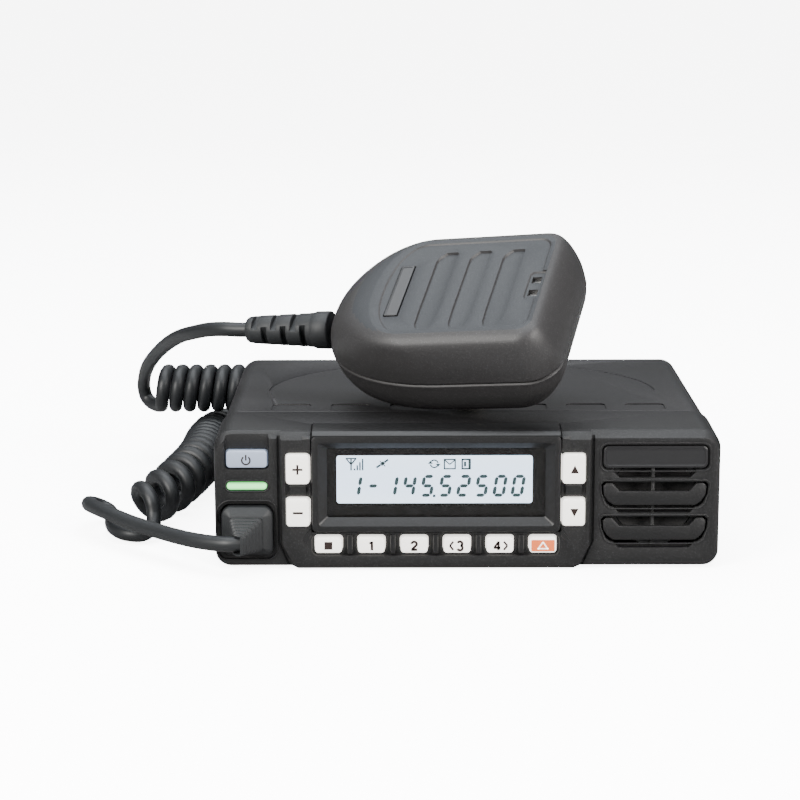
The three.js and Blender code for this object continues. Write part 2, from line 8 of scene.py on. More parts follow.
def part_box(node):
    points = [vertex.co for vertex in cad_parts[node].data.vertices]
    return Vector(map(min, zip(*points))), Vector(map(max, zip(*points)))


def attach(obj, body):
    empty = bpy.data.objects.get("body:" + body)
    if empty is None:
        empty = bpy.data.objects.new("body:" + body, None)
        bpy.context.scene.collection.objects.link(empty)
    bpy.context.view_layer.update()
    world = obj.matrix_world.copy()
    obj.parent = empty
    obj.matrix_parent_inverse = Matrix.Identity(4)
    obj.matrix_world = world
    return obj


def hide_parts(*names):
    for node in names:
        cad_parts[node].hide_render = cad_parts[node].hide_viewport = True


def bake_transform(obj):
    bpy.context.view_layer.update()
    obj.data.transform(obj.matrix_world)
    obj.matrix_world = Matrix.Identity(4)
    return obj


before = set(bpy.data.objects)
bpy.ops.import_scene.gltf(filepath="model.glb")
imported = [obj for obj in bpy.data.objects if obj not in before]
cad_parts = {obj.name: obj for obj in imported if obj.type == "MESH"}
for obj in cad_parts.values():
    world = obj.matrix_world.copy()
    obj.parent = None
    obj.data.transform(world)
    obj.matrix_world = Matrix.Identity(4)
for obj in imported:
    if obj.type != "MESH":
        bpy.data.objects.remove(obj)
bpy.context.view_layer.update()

MM = 0.001


def span(node):
    """The lowest and the highest corner of a CAD node, in millimetres."""
    low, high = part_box(node)
    return low / MM, high / MM


PANEL_LOW, PANEL_HIGH = span("front_panel")
BEZEL_LOW, BEZEL_HIGH = span("display_bezel")
COVER_TOP = span("top_cover")[1].z
CENTRE_FACE = PANEL_LOW.y            # front of the panel's raised centre section
FACE = CENTRE_FACE + 2               # front of its two side sections
PANEL_BACK = PANEL_HIGH.y
PANEL_HALF = PANEL_HIGH.x
PANEL_TOP = PANEL_HIGH.z
CENTRE_LEFT, CENTRE_RIGHT = -60.3, 39.6
FACE_TOP = PANEL_TOP - 0.6           # the top slopes down a little towards the face

LOWER_KEYS = ("key_stop", "key_one", "key_two", "key_previous", "key_next", "key_alert")
SIDE_KEYS = ("key_plus", "key_minus", "key_up", "key_down")


# ---------------------------------------------------------------- camera, floor and light
def place_camera():
    camera = bpy.data.cameras.new("camera")
    camera.sensor_width = 36
    camera.lens = 99.3
    view = bpy.data.objects.new("camera", camera)
    view.location = (-0.0184, -0.740, 0.1967)
    view.rotation_euler = (math.radians(78.12), math.radians(0.15), math.radians(0.2))
    bpy.context.scene.collection.objects.link(view)
    bpy.context.scene.camera = view


def soft_light(name, place, aim, size, power, tint):
    lamp = bpy.data.lights.new(name, "AREA")
    lamp.shape = "RECTANGLE"
    lamp.size, lamp.size_y = size
    lamp.energy = power
    lamp.color = tint
    holder = bpy.data.objects.new(name, lamp)
    holder.location = place
    holder.rotation_euler = (Vector(aim) - Vector(place)).to_track_quat("-Z", "Y").to_euler()
    bpy.context.scene.collection.objects.link(holder)


def light_scene():
    middle = (0, 0, 0.03)
    soft_light("overhead_box", (-0.05, -0.05, 0.85), middle, (1.2, 0.7), 11, (0.92, 0.96, 1.0))
    soft_light("front_left_box", (-0.8, -0.8, 0.6), middle, (0.6, 0.6), 20, (1.0, 0.98, 0.95))
    soft_light("front_right_box", (0.85, -0.75, 0.5), middle, (0.6, 0.6), 18, (1.0, 0.97, 0.94))
    soft_light("back_box", (0.1, 0.9, 0.75), middle, (0.9, 0.4), 1.2, (0.96, 0.98, 1.0))


def feed(tree, node, inputs):
    """Each input, by name or number, takes a value or another node's output."""
    for key, value in inputs.items():
        if isinstance(value, bpy.types.NodeSocket):
            tree.links.new(value, node.inputs[key])
        else:
            node.inputs[key].default_value = value


def add_node(tree, kind, inputs=None, operation=None, group=None):
    """A new node with its inputs fed; group is the node group it stands for."""
    node = tree.nodes.new(kind)
    if operation:
        node.operation = operation
    if group:
        node.node_tree = group
    feed(tree, node, inputs or {})
    return node


def seen_or_felt(tree, seen, felt):
    """Mixes two shaders: what the camera sees, and what the object is lit by and reflects."""
    rays = add_node(tree, "ShaderNodeLightPath").outputs["Is Camera Ray"]
    return add_node(tree, "ShaderNodeMixShader", {"Fac": rays, 1: felt, 2: seen}).outputs["Shader"]


def surround_with_room():
    """A white room to the camera; to the object, dark at eye level and brighter overhead."""
    world = bpy.data.worlds.new("white_room")
    world.use_nodes = True
    tree = world.node_tree
    way = add_node(tree, "ShaderNodeTexCoord").outputs["Generated"]
    up = add_node(tree, "ShaderNodeSeparateXYZ", {"Vector": way}).outputs["Z"]
    height = add_node(tree, "ShaderNodeMapRange", {
        "Value": up, "From Min": 0.2, "From Max": 0.95, "To Min": 0.1, "To Max": 0.6})
    felt = tree.nodes["Background"]
    feed(tree, felt, {"Color": (0.95, 0.97, 1, 1), "Strength": height.outputs["Result"]})
    seen = add_node(tree, "ShaderNodeBackground", {"Color": (1, 1, 1, 1), "Strength": 12.0})
    both = seen_or_felt(tree, seen.outputs["Background"], felt.outputs["Background"])
    feed(tree, tree.nodes["World Output"], {"Surface": both})
    bpy.context.scene.world = world


def lay_floor():
    half, below = 30.0, -0.0003
    mesh = bpy.data.meshes.new("floor")
    corners = [(-half, -half, below), (half, -half, below), (half, half, below), (-half, half, below)]
    mesh.from_pydata(corners, [], [(0, 1, 2, 3)])
    floor = bpy.data.objects.new("floor", mesh)
    bpy.context.scene.collection.objects.link(floor)
    pale = bpy.data.materials.new("pale_floor")
    pale.use_nodes = True
    tree = pale.node_tree
    tree.nodes.remove(tree.nodes["Principled BSDF"])
    white = add_node(tree, "ShaderNodeBsdfDiffuse", {"Color": (2.4, 2.4, 2.4, 1)})
    glow = add_node(tree, "ShaderNodeEmission", {"Strength": 6.5})
    shadowed = add_node(tree, "ShaderNodeAddShader", {0: white.outputs["BSDF"], 1: glow.outputs["Emission"]})
    dim = add_node(tree, "ShaderNodeBsdfDiffuse", {"Color": (0.3, 0.3, 0.3, 1)})
    both = seen_or_felt(tree, shadowed.outputs["Shader"], dim.outputs["BSDF"])
    feed(tree, tree.nodes["Material Output"], {"Surface": both})
    mesh.materials.append(pale)


place_camera()
light_scene()
surround_with_room()
lay_floor()


# ---------------------------------------------------------------- shared shader groups
def new_group(name, inputs, outputs):
    group = bpy.data.node_groups.new(name, "ShaderNodeTree")
    for label, kind, value in inputs:
        socket = group.interface.new_socket(label, in_out="INPUT", socket_type=kind)
        if value is not None:
            socket.default_value = value
    for label, kind in outputs:
        group.interface.new_socket(label, in_out="OUTPUT", socket_type=kind)
    return group, group.nodes.new("NodeGroupInput"), group.nodes.new("NodeGroupOutput")


def moulded_grain_group():
    """The fine pebbled skin of moulded plastic or of textured paint, with a slow drift in tone, and a painted
    glint: the colour is lifted on the pebble peaks where light would catch them.
    """
    group, given, result = new_group(
        "moulded_grain",
        [("Color", "NodeSocketColor", None), ("Grain per metre", "NodeSocketFloat", 2000.0),
         ("Depth", "NodeSocketFloat", 0.2), ("Painted glint", "NodeSocketFloat", 0.1),
         ("Roughness", "NodeSocketFloat", 0.5)],
        [("Color", "NodeSocketColor"), ("Roughness", "NodeSocketFloat"), ("Normal", "NodeSocketVector")])
    place = add_node(group, "ShaderNodeTexCoord").outputs["Object"]
    pebbles = add_node(group, "ShaderNodeTexNoise", {
        "Vector": place, "Scale": given.outputs["Grain per metre"], "Detail": 2.0, "Roughness": 0.6})
    drift = add_node(group, "ShaderNodeTexNoise", {"Vector": place, "Scale": 28.0, "Detail": 3.0})
    bump = add_node(group, "ShaderNodeBump", {
        "Distance": 0.00008, "Strength": given.outputs["Depth"], "Height": pebbles.outputs["Fac"]})
    # Painted glint: the base colour is brightened on the pebble peaks, standing in for the light they catch.
    peaks = add_node(group, "ShaderNodeMapRange", {
        "Value": pebbles.outputs["Fac"], "From Min": 0.56, "From Max": 0.78})
    tone = add_node(group, "ShaderNodeMapRange", {
        "Value": drift.outputs["Fac"], "To Min": 0.9, "To Max": 1.1}).outputs["Result"]
    glint = add_node(group, "ShaderNodeMath", {
        0: peaks.outputs["Result"], 1: given.outputs["Painted glint"]}, "MULTIPLY")
    lift = add_node(group, "ShaderNodeMath", {0: tone, 1: glint.outputs["Value"]}, "ADD")
    shaded = add_node(group, "ShaderNodeVectorMath", {
        0: given.outputs["Color"], "Scale": lift.outputs["Value"]}, "SCALE")
    satin = add_node(group, "ShaderNodeMath", {0: given.outputs["Roughness"], 1: tone}, "MULTIPLY")
    feed(group, result, {"Color": shaded.outputs["Vector"], "Roughness": satin.outputs["Value"],
                         "Normal": bump.outputs["Normal"]})
    return group


def brushed_group():
    """Fine turning or brushing marks along one axis, for bare metal."""
    group, given, result = new_group(
        "brushed_marks",
        [("Stretch", "NodeSocketVector", (60.0, 4000.0, 4000.0)), ("Depth", "NodeSocketFloat", 0.2),
         ("Roughness", "NodeSocketFloat", 0.3)],
        [("Roughness", "NodeSocketFloat"), ("Normal", "NodeSocketVector")])
    place = add_node(group, "ShaderNodeTexCoord").outputs["Object"]
    stretch = add_node(group, "ShaderNodeVectorMath", {0: place, 1: given.outputs["Stretch"]}, "MULTIPLY")
    marks = add_node(group, "ShaderNodeTexNoise", {
        "Vector": stretch.outputs["Vector"], "Scale": 1.0, "Detail": 2.0}).outputs["Fac"]
    bump = add_node(group, "ShaderNodeBump", {
        "Distance": 0.00003, "Strength": given.outputs["Depth"], "Height": marks})
    spread = add_node(group, "ShaderNodeMapRange", {"Value": marks, "To Min": 0.75, "To Max": 1.25})
    satin = add_node(group, "ShaderNodeMath", {
        0: given.outputs["Roughness"], 1: spread.outputs["Result"]}, "MULTIPLY")
    feed(group, result, {"Roughness": satin.outputs["Value"], "Normal": bump.outputs["Normal"]})
    return group


GRAIN = moulded_grain_group()
BRUSHED = brushed_group()


# ---------------------------------------------------------------- materials
def bare_material(name):
    material = bpy.data.materials.new(name)
    material.use_nodes = True
    return material, material.node_tree, material.node_tree.nodes["Principled BSDF"]


def plastic(name, color, roughness, grain, depth, painted_glint, glow=0.0):
    """Moulded or painted stuff; glow is emission: the backlight of what is lit from behind, and painted light
    on the keys, whose faces glow though they are no lamp.
    """
    material, tree, shader = bare_material(name)
    skin = add_node(tree, "ShaderNodeGroup", {
        "Color": (*color, 1), "Grain per metre": grain, "Depth": depth, "Painted glint": painted_glint,
        "Roughness": roughness}, group=GRAIN).outputs
    feed(tree, shader, {"Base Color": skin["Color"], "Roughness": skin["Roughness"],
                        "Normal": skin["Normal"]})
    if glow:
        feed(tree, shader, {"Emission Color": skin["Color"], "Emission Strength": glow})
    return material


def metal(name, color, roughness, stretch=(60.0, 4000.0, 4000.0)):
    material, tree, shader = bare_material(name)
    marks = add_node(tree, "ShaderNodeGroup", {
        "Stretch": stretch, "Depth": 0.2, "Roughness": roughness}, group=BRUSHED).outputs
    feed(tree, shader, {"Base Color": (*color, 1), "Metallic": 1.0, "Roughness": marks["Roughness"],
                        "Normal": marks["Normal"]})
    return material


def lit(name, color, strength, edge_color, middle, half):
    """A backlit window: brightest along its middle, deeper in colour towards its edges in height."""
    material, tree, shader = bare_material(name)
    place = add_node(tree, "ShaderNodeTexCoord").outputs["Object"]
    height = add_node(tree, "ShaderNodeSeparateXYZ", {"Vector": place}).outputs["Z"]
    away = add_node(tree, "ShaderNodeMath", {0: height, 1: middle}, "SUBTRACT").outputs["Value"]
    share = add_node(tree, "ShaderNodeMath", {0: away, 1: half}, "DIVIDE").outputs["Value"]
    size = add_node(tree, "ShaderNodeMath", {0: share}, "ABSOLUTE").outputs["Value"]
    ramp = add_node(tree, "ShaderNodeValToRGB", {"Fac": size})
    for stop, position, tint in zip(ramp.color_ramp.elements, (0.35, 1.0), (color, edge_color)):
        stop.position = position
        stop.color = (*tint, 1)
    feed(tree, shader, {"Base Color": ramp.outputs["Color"], "Emission Color": ramp.outputs["Color"],
                        "Emission Strength": strength, "Roughness": 0.25})
    return material


def clear(name, color, alpha, roughness):
    material, _, shader = bare_material(name)
    shader.inputs["Base Color"].default_value = (*color, 1)
    shader.inputs["Alpha"].default_value = alpha
    shader.inputs["Roughness"].default_value = roughness
    return material


# The sparkle of each plastic below is a painted glint that lifts its colour on the grain's peaks.
PANEL_BLACK = plastic("panel_black", (0.004, 0.004, 0.0043), 0.5, grain=2600, depth=0.8, painted_glint=7.0)
BEZEL_BLACK = plastic("bezel_black", (0.004, 0.004, 0.0043), 0.42, grain=2600, depth=0.5, painted_glint=5.0)
COVER_BLACK = plastic("cover_black", (0.010, 0.0097, 0.0105), 0.5, grain=2300, depth=0.8, painted_glint=3.5)
CAST_BLACK = plastic("cast_black", (0.012, 0.012, 0.0125), 0.5, grain=1800, depth=0.6, painted_glint=0.6)
MIC_BLACK = plastic("mic_black", (0.029, 0.028, 0.0285), 0.48, grain=2300, depth=0.6, painted_glint=1.3)
# The microphone's face: its finer, rougher grain is its own, and its bluer tint is painted light, the sheen
# of the bluish overhead box.
MIC_FACE_GRAIN_AND_PAINTED_SHEEN = plastic("mic_face_grain_and_painted_sheen", (0.022, 0.0245, 0.028), 0.55, grain=2600, depth=0.5, painted_glint=1.0)
RUBBER = plastic("rubber", (0.013, 0.0145, 0.016), 0.55, grain=2200, depth=0.3, painted_glint=0.1)
CORD_RUBBER = plastic("cord_rubber", (0.012, 0.0135, 0.015), 0.46, grain=1500, depth=0.12, painted_glint=0.1)
# The keys' glow is painted light: the white, grey and orange key faces, and the white alert triangle, emit so
# that they look brighter than the lamps make them.
KEY_WHITE = plastic("key_white", (0.86, 0.83, 0.78), 0.4, grain=2200, depth=0.08, painted_glint=0.0, glow=1.9)
KEY_GREY = plastic("key_grey", (0.36, 0.42, 0.54), 0.42, grain=2200, depth=0.08, painted_glint=0.0, glow=0.2)
ALERT_ORANGE = plastic("alert_orange", (0.80, 0.17, 0.05), 0.4, grain=2200, depth=0.08, painted_glint=0.0, glow=0.4)
LEGEND_BROWN = plastic("legend_brown", (0.018, 0.008, 0.006), 0.5, grain=2200, depth=0.05, painted_glint=0.0)
BADGE_BLACK = plastic("badge_black", (0.014, 0.014, 0.015), 0.3, grain=1600, depth=0.08, painted_glint=0.0)
MASK_BLACK = plastic("mask_black", (0.003, 0.0025, 0.002), 0.3, grain=1600, depth=0.05, painted_glint=0.0)
SOCKET_BLACK = plastic("socket_black", (0.014, 0.014, 0.015), 0.4, grain=1800, depth=0.15, painted_glint=0.1)
SEGMENT_TEAL = plastic("segment_teal", (0.03, 0.07, 0.075), 0.6, grain=900, depth=0.02, painted_glint=0.0,
                       glow=0.25)
BOARD_GREEN = plastic("board_green", (0.012, 0.1, 0.045), 0.35, grain=900, depth=0.1, painted_glint=0.2)
MEMBRANE_GREY = plastic("membrane_grey", (0.17, 0.18, 0.19), 0.6, grain=1500, depth=0.15, painted_glint=0.0)
CONE_PAPER = plastic("cone_paper", (0.014, 0.014, 0.014), 0.85, grain=1200, depth=0.8, painted_glint=0.3)
PLUG_CLEAR = plastic("plug_clear", (0.62, 0.58, 0.46), 0.15, grain=700, depth=0.05, painted_glint=0.0)
STEEL = metal("plated_steel", (0.56, 0.56, 0.55), 0.32)
NICKEL = metal("nickel_plate", (0.68, 0.64, 0.54), 0.26, stretch=(4000.0, 60.0, 4000.0))
LCD_LIT = lit("display_backlight", (0.66, 0.80, 1.0), 2.6, (0.70, 0.84, 1.0), 0.02895, 0.0082)
LED_GREEN = lit("status_light_green", (0.30, 0.95, 0.34), 1.5, (0.0, 0.13, 0.012), 0.0268, 0.0015)
WINDOW_CLEAR = clear("window_clear", (0.02, 0.02, 0.02), 0.12, 0.04)


# ---------------------------------------------------------------- mesh tools
def object_of(name, bm, material=None, crisp=32):
    """A mesh object from a bmesh drawn in millimetres. Edges over crisp degrees stay sharp."""
    bmesh.ops.scale(bm, vec=(MM, MM, MM), verts=bm.verts)
    mesh = bpy.data.meshes.new(name)
    bm.to_mesh(mesh)
    bm.free()
    if material:
        mesh.materials.append(material)
    obj = bpy.data.objects.new(name, mesh)
    bpy.context.scene.collection.objects.link(obj)
    shade(obj, crisp)
    return obj


def shade(obj, crisp=32):
    obj.data.shade_smooth()
    obj.data.set_sharp_from_angle(angle=math.radians(crisp))


def settle(obj):
    """Makes the object's modifiers part of its mesh."""
    graph = bpy.context.evaluated_depsgraph_get()
    made = bpy.data.meshes.new_from_object(obj.evaluated_get(graph))
    obj.modifiers.clear()
    old, obj.data = obj.data, made
    bpy.data.meshes.remove(old)
    return obj


def merge_flat(obj, angle=0.5):
    """Joins loose triangles and dissolves the edges inside flat faces."""
    bm = bmesh.new()
    bm.from_mesh(obj.data)
    bmesh.ops.remove_doubles(bm, verts=bm.verts, dist=2e-6)
    bmesh.ops.dissolve_limit(bm, angle_limit=math.radians(angle), verts=bm.verts, edges=bm.edges)
    bm.to_mesh(obj.data)
    bm.free()


def combine(obj, *tools, how="DIFFERENCE"):
    """Cuts closed tool objects away from obj, or joins them to it, and removes them."""
    for tool in tools:
        step = obj.modifiers.new("combine", "BOOLEAN")
        step.operation = how
        step.object = tool
        step.solver = "EXACT"
    settle(obj)
    for tool in tools:
        mesh = tool.data
        bpy.data.objects.remove(tool)
        bpy.data.meshes.remove(mesh)
    merge_flat(obj)
    return obj


def soften(obj, width, segments=2, angle=35, crisp=32):
    """Rounds the edges over angle degrees by width millimetres."""
    step = obj.modifiers.new("soften", "BEVEL")
    step.width = width * MM
    step.segments = segments
    step.limit_method = "ANGLE"
    step.angle_limit = math.radians(angle)
    step.miter_outer = "MITER_ARC"
    settle(obj)
    shade(obj, crisp)
    return obj


def rect_points(x0, x1, z0, z1, radii, steps=6):
    """A rounded rectangle in X and Z; radii are lower left, lower right, upper right, upper left."""
    radii = [radii] * 4 if isinstance(radii, (int, float)) else list(radii)
    corners = ((x0, z0, 1, 1, 180), (x1, z0, -1, 1, 270), (x1, z1, -1, -1, 0), (x0, z1, 1, -1, 90))
    points = []
    for (x, z, to_x, to_z, start), r in zip(corners, radii):
        r = max(r, 0.01)
        for k in range(steps + 1):
            turn = math.radians(start + 90 * k / steps)
            points.append((x + to_x * r + r * math.cos(turn), z + to_z * r + r * math.sin(turn)))
    return points


def inset_rect(rect, radii, inset, steps=6):
    x0, x1, z0, z1 = rect
    radii = [radii] * 4 if isinstance(radii, (int, float)) else radii
    smaller = [max(r - inset, 0.15) for r in radii]
    return rect_points(x0 + inset, x1 - inset, z0 + inset, z1 - inset, smaller, steps)


def at_depth(points, y):
    return [(x, y, z) for x, z in points]


def loft(loops, ring=False):
    """A skin through loops with the same number of points; ring joins the last loop to the first."""
    bm = bmesh.new()
    rows = [[bm.verts.new(p) for p in loop] for loop in loops]
    count = len(loops[0])
    pairs = list(zip(rows, rows[1:] + rows[:1] if ring else rows[1:]))
    for low, high in pairs:
        for i in range(count):
            j = (i + 1) % count
            bm.faces.new((low[i], low[j], high[j], high[i]))
    if not ring:
        bm.faces.new(rows[0][::-1])
        bm.faces.new(rows[-1])
    bmesh.ops.remove_doubles(bm, verts=bm.verts, dist=1e-4)
    bmesh.ops.recalc_face_normals(bm, faces=bm.faces)
    return bm


def stacked(name, rect, radii, profile, material=None, steps=6, crisp=32):
    """A rounded rectangle carried along Y; profile is pairs of y and inset."""
    loops = [at_depth(inset_rect(rect, radii, inset, steps), y) for y, inset in profile]
    return object_of(name, loft(loops), material, crisp)


def rounded_profile(y_back, y_front, edge, steps=3):
    """From back to front, with the front edge rounded."""
    profile = [(y_back, 0.0)]
    for k in range(steps + 1):
        turn = math.pi / 2 * k / steps
        profile.append((y_front + edge - edge * math.sin(turn), edge - edge * math.cos(turn)))
    return profile


def prism(name, outline, y0, y1, material=None, crisp=32):
    """A flat outline in X and Z carried from y0 to y1."""
    return object_of(name, loft([at_depth(outline, y0), at_depth(outline, y1)]), material, crisp)


def block(name, low, high, material=None):
    x0, y0, z0 = low
    x1, y1, z1 = high
    return prism(name, [(x0, z0), (x1, z0), (x1, z1), (x0, z1)], y0, y1, material)


def turned(name, profile, place, sides=32, material=None, crisp=32):
    """A profile of (radius, height) pairs turned about the local Z of the matrix place."""
    around = [2 * math.pi * k / sides for k in range(sides)]
    loops = []
    for r, z in profile:
        r = max(r, 0.01)
        loops.append([place @ Vector((r * math.cos(a), r * math.sin(a), z)) for a in around])
    return object_of(name, loft(loops), material, crisp)


def rod(name, centre, axis, radius, length, sides=24, material=None, tip=None):
    """A round bar from centre along axis; tip is its radius at the far end."""
    turn = Vector((0, 0, 1)).rotation_difference(Vector(axis)).to_matrix().to_4x4()
    profile = ((radius, 0), (radius if tip is None else tip, length))
    return turned(name, profile, Matrix.Translation(Vector(centre)) @ turn, sides, material)


def smooth_curve(points, per_span):
    """Points along a centripetal Catmull-Rom curve through the given ones."""
    pts = [Vector(p) for p in points]
    pts = [2 * pts[0] - pts[1], *pts, 2 * pts[-1] - pts[-2]]
    out = []
    for a, b, c, d in zip(pts, pts[1:], pts[2:], pts[3:]):
        t1 = max((b - a).length, 1e-6) ** 0.5
        t2 = t1 + max((c - b).length, 1e-6) ** 0.5
        t3 = t2 + max((d - c).length, 1e-6) ** 0.5
        for k in range(per_span):
            t = t1 + (t2 - t1) * k / per_span
            ab = a * ((t1 - t) / t1) + b * (t / t1)
            bc = b * ((t2 - t) / (t2 - t1)) + c * ((t - t1) / (t2 - t1))
            cd = c * ((t3 - t) / (t3 - t2)) + d * ((t - t2) / (t3 - t2))
            abc = ab * ((t2 - t) / t2) + bc * (t / t2)
            bcd = bc * ((t3 - t) / (t3 - t1)) + cd * ((t - t1) / (t3 - t1))
            out.append(abc * ((t2 - t) / (t2 - t1)) + bcd * ((t - t1) / (t2 - t1)))
    out.append(pts[-2])
    return out


def tube(path, radius, sides=12, ring=False):
    """A closed tube along a path, with its section carried along without twisting."""
    path = [Vector(p) for p in path]
    count = len(path)
    ways = []
    for i in range(count):
        if ring:
            ways.append((path[(i + 1) % count] - path[i - 1]).normalized())
        else:
            ways.append((path[min(i + 1, count - 1)] - path[max(i - 1, 0)]).normalized())
    across = ways[0].orthogonal().normalized()
    around = [2 * math.pi * k / sides for k in range(sides)]
    loops = []
    for point, way in zip(path, ways):
        across = (across - way * across.dot(way)).normalized()
        other = way.cross(across)
        loops.append([point + radius * (across * math.cos(a) + other * math.sin(a)) for a in around])
    return loft(loops, ring=ring)


def ride(obj, body, replaces=()):
    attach(obj, body)
    if replaces:
        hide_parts(*replaces)
    return obj


def edged_copy(node, material, width, segments=2):
    """The CAD node's own shape with its edges rounded."""
    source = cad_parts[node]
    obj = bpy.data.objects.new(node + "_finished", source.data.copy())
    bpy.context.scene.collection.objects.link(obj)
    obj.data.materials.clear()
    obj.data.materials.append(material)
    merge_flat(obj)
    soften(obj, width, segments)
    return ride(obj, "root", (node,))


# ---------------------------------------------------------------- repeated pieces
def row_tree():
    """Copies of one piece in a row: each copy moves on by Step."""
    tree = bpy.data.node_groups.new("row_of_pieces", "GeometryNodeTree")
    face = tree.interface
    for label, kind in (("Piece", "Object"), ("Count", "Int"), ("Start", "Vector"), ("Step", "Vector"),
                        ("Material", "Material")):
        face.new_socket(label, in_out="INPUT", socket_type="NodeSocket" + kind)
    face.new_socket("Geometry", in_out="OUTPUT", socket_type="NodeSocketGeometry")
    given = tree.nodes.new("NodeGroupInput").outputs
    index = add_node(tree, "GeometryNodeInputIndex").outputs["Index"]
    moved = add_node(tree, "ShaderNodeVectorMath", {0: index, 1: given["Step"], 2: given["Start"]},
                     "MULTIPLY_ADD")
    points = add_node(tree, "GeometryNodePoints", {
        "Count": given["Count"], "Position": moved.outputs["Vector"]})
    piece = add_node(tree, "GeometryNodeObjectInfo", {"Object": given["Piece"]})
    copies = add_node(tree, "GeometryNodeInstanceOnPoints", {
        "Points": points.outputs["Points"], "Instance": piece.outputs["Geometry"]})
    real = add_node(tree, "GeometryNodeRealizeInstances", {"Geometry": copies.outputs["Instances"]})
    coat = add_node(tree, "GeometryNodeSetMaterial", {
        "Geometry": real.outputs["Geometry"], "Material": given["Material"]})
    add_node(tree, "NodeGroupOutput", {"Geometry": coat.outputs["Geometry"]})
    return tree


ROW = row_tree()


def repeat(name, piece, count, start, step):
    """One mesh holding count copies of piece, which is drawn about the origin and then removed."""
    obj = bpy.data.objects.new(name, bpy.data.meshes.new(name))
    bpy.context.scene.collection.objects.link(obj)
    maker = obj.modifiers.new("row", "NODES")
    maker.node_group = ROW
    values = {"Piece": piece, "Count": count, "Start": Vector(start) * MM, "Step": Vector(step) * MM,
              "Material": piece.data.materials[0]}
    for socket in ROW.interface.items_tree:
        if socket.in_out == "INPUT":
            maker[socket.identifier] = values[socket.name]
    settle(obj)
    bpy.data.objects.remove(piece)
    shade(obj)
    return obj


# ---------------------------------------------------------------- hand microphone
# Its own frame: X from the cord to the sound holes, Y across to the talk key, Z out of its face.
MIC_TURN = (math.radians(31.5), math.radians(-5.5), math.radians(-20))
BADGE_LOW, BADGE_HIGH = span("mic_badge")
BADGE_CENTRE = Vector((-14.5, 0, 17.55))
MIC_ROTATION = (Matrix.Rotation(MIC_TURN[2], 3, "Z") @ Matrix.Rotation(MIC_TURN[1], 3, "Y")
                @ Matrix.Rotation(MIC_TURN[0], 3, "X"))
MIC_SHIFT = (BADGE_LOW + BADGE_HIGH) / 2 - MIC_ROTATION @ BADGE_CENTRE
MIC_PLACE = Matrix.Translation(MIC_SHIFT) @ MIC_ROTATION.to_4x4()
RELIEF_START = Vector((-43, 0, 1.7))
RELIEF_LENGTH = 30
RELIEF_TILT = math.radians(3)
RELIEF_AXIS = Vector((-math.cos(RELIEF_TILT), 0, math.sin(RELIEF_TILT)))
MIC_WALL = 2.2
PARTING_GAP = 0.3
FAR_SIDE = 2.7                       # the side with the talk key reaches further out

# Outline of the body at one height: height, left end, right end, half width, corner radius
# and where the round end starts.
FRONT_LEVELS = [
    (0, -42.5, 41, 27.7, 11, 4), (6, -41, 40.6, 27.6, 10, 2), (11.5, -37.7, 39.2, 27, 9, 0),
    (15, -33, 37.7, 26, 8, -4), (16.8, -28, 36.3, 24.1, 6, -7), (17.7, -23.4, 34.6, 22.2, 5, -9)]
REAR_LEVELS = [
    (-14.3, -36, 33, 23.4, 9, 4), (-12.8, -38.4, 35, 25.1, 10, 4), (-9.8, -40.2, 37.3, 26.6, 11, 4),
    (-5.9, -41.6, 39.7, 27.4, 11, 4), (-PARTING_GAP, -42.5, 41, 27.7, 11, 4)]
FACE_BAND = (17.45, -20.2, 33.1, 20.7, 4, -9)
FACE_FLOOR = (17.0, -19.7, 32.7, 20.3, 4, -9)


def mic_point(local):
    return MIC_PLACE @ Vector(local)


def scaled(place):
    """The same placement for a mesh in metres."""
    return Matrix.Diagonal((MM, MM, MM, 1)) @ place @ Matrix.Diagonal((1 / MM, 1 / MM, 1 / MM, 1))


def place_on_mic(obj):
    obj.data.transform(scaled(MIC_PLACE))


def straight(a, b, steps):
    """The points between a and b, without the two themselves."""
    return [Vector(a).lerp(Vector(b), k / steps) for k in range(1, steps)]


def mic_loop(level, inset=0.0, corner_steps=8, side_steps=5, end_steps=44):
    z, left, right, half, corner, join = level
    left, right, half = left + inset, right - inset, half - inset
    corner = max(corner - inset, 2)
    points = []
    far = half + FAR_SIDE
    for side, start, reach in ((-1, -90, half), (1, 0, far)):
        for k in range(corner_steps + 1):
            turn = math.radians(start + 90 * k / corner_steps)
            points.append((right - corner + corner * math.cos(turn),
                           side * (reach - corner) + corner * math.sin(turn), z))
    end = []
    for k in range(1, end_steps):
        turn = math.pi / 2 + math.pi * k / end_steps
        reach = far if math.sin(turn) > 0 else half
        end.append((join - (join - left) * abs(math.cos(turn)) ** 0.9,
                    math.copysign(reach * abs(math.sin(turn)) ** 0.9, math.sin(turn)), z))
    return (points + straight(points[-1], end[0], side_steps) + end
            + straight(end[-1], points[0], side_steps))


def smooth_levels(levels, steps=5):
    """The levels with smooth ones between them."""
    padded = [levels[0], *levels, levels[-1]]
    out = []
    for a, b, c, d in zip(padded, padded[1:], padded[2:], padded[3:]):
        for k in range(steps):
            t = k / steps
            out.append(tuple(0.5 * (2 * q + (r - p) * t + (2 * p - 5 * q + 4 * r - s) * t * t
                                    + (3 * q - p - 3 * r + s) * t ** 3)
                             for p, q, r, s in zip(a, b, c, d)))
    return out + [levels[-1]]


def mic_hollow(levels, low, high):
    inner = [(low, *levels[0][1:]), *[v for v in levels if low < v[0] < high], (high, *levels[-1][1:])]
    return object_of("hollow", loft([mic_loop(v, MIC_WALL) for v in inner]))


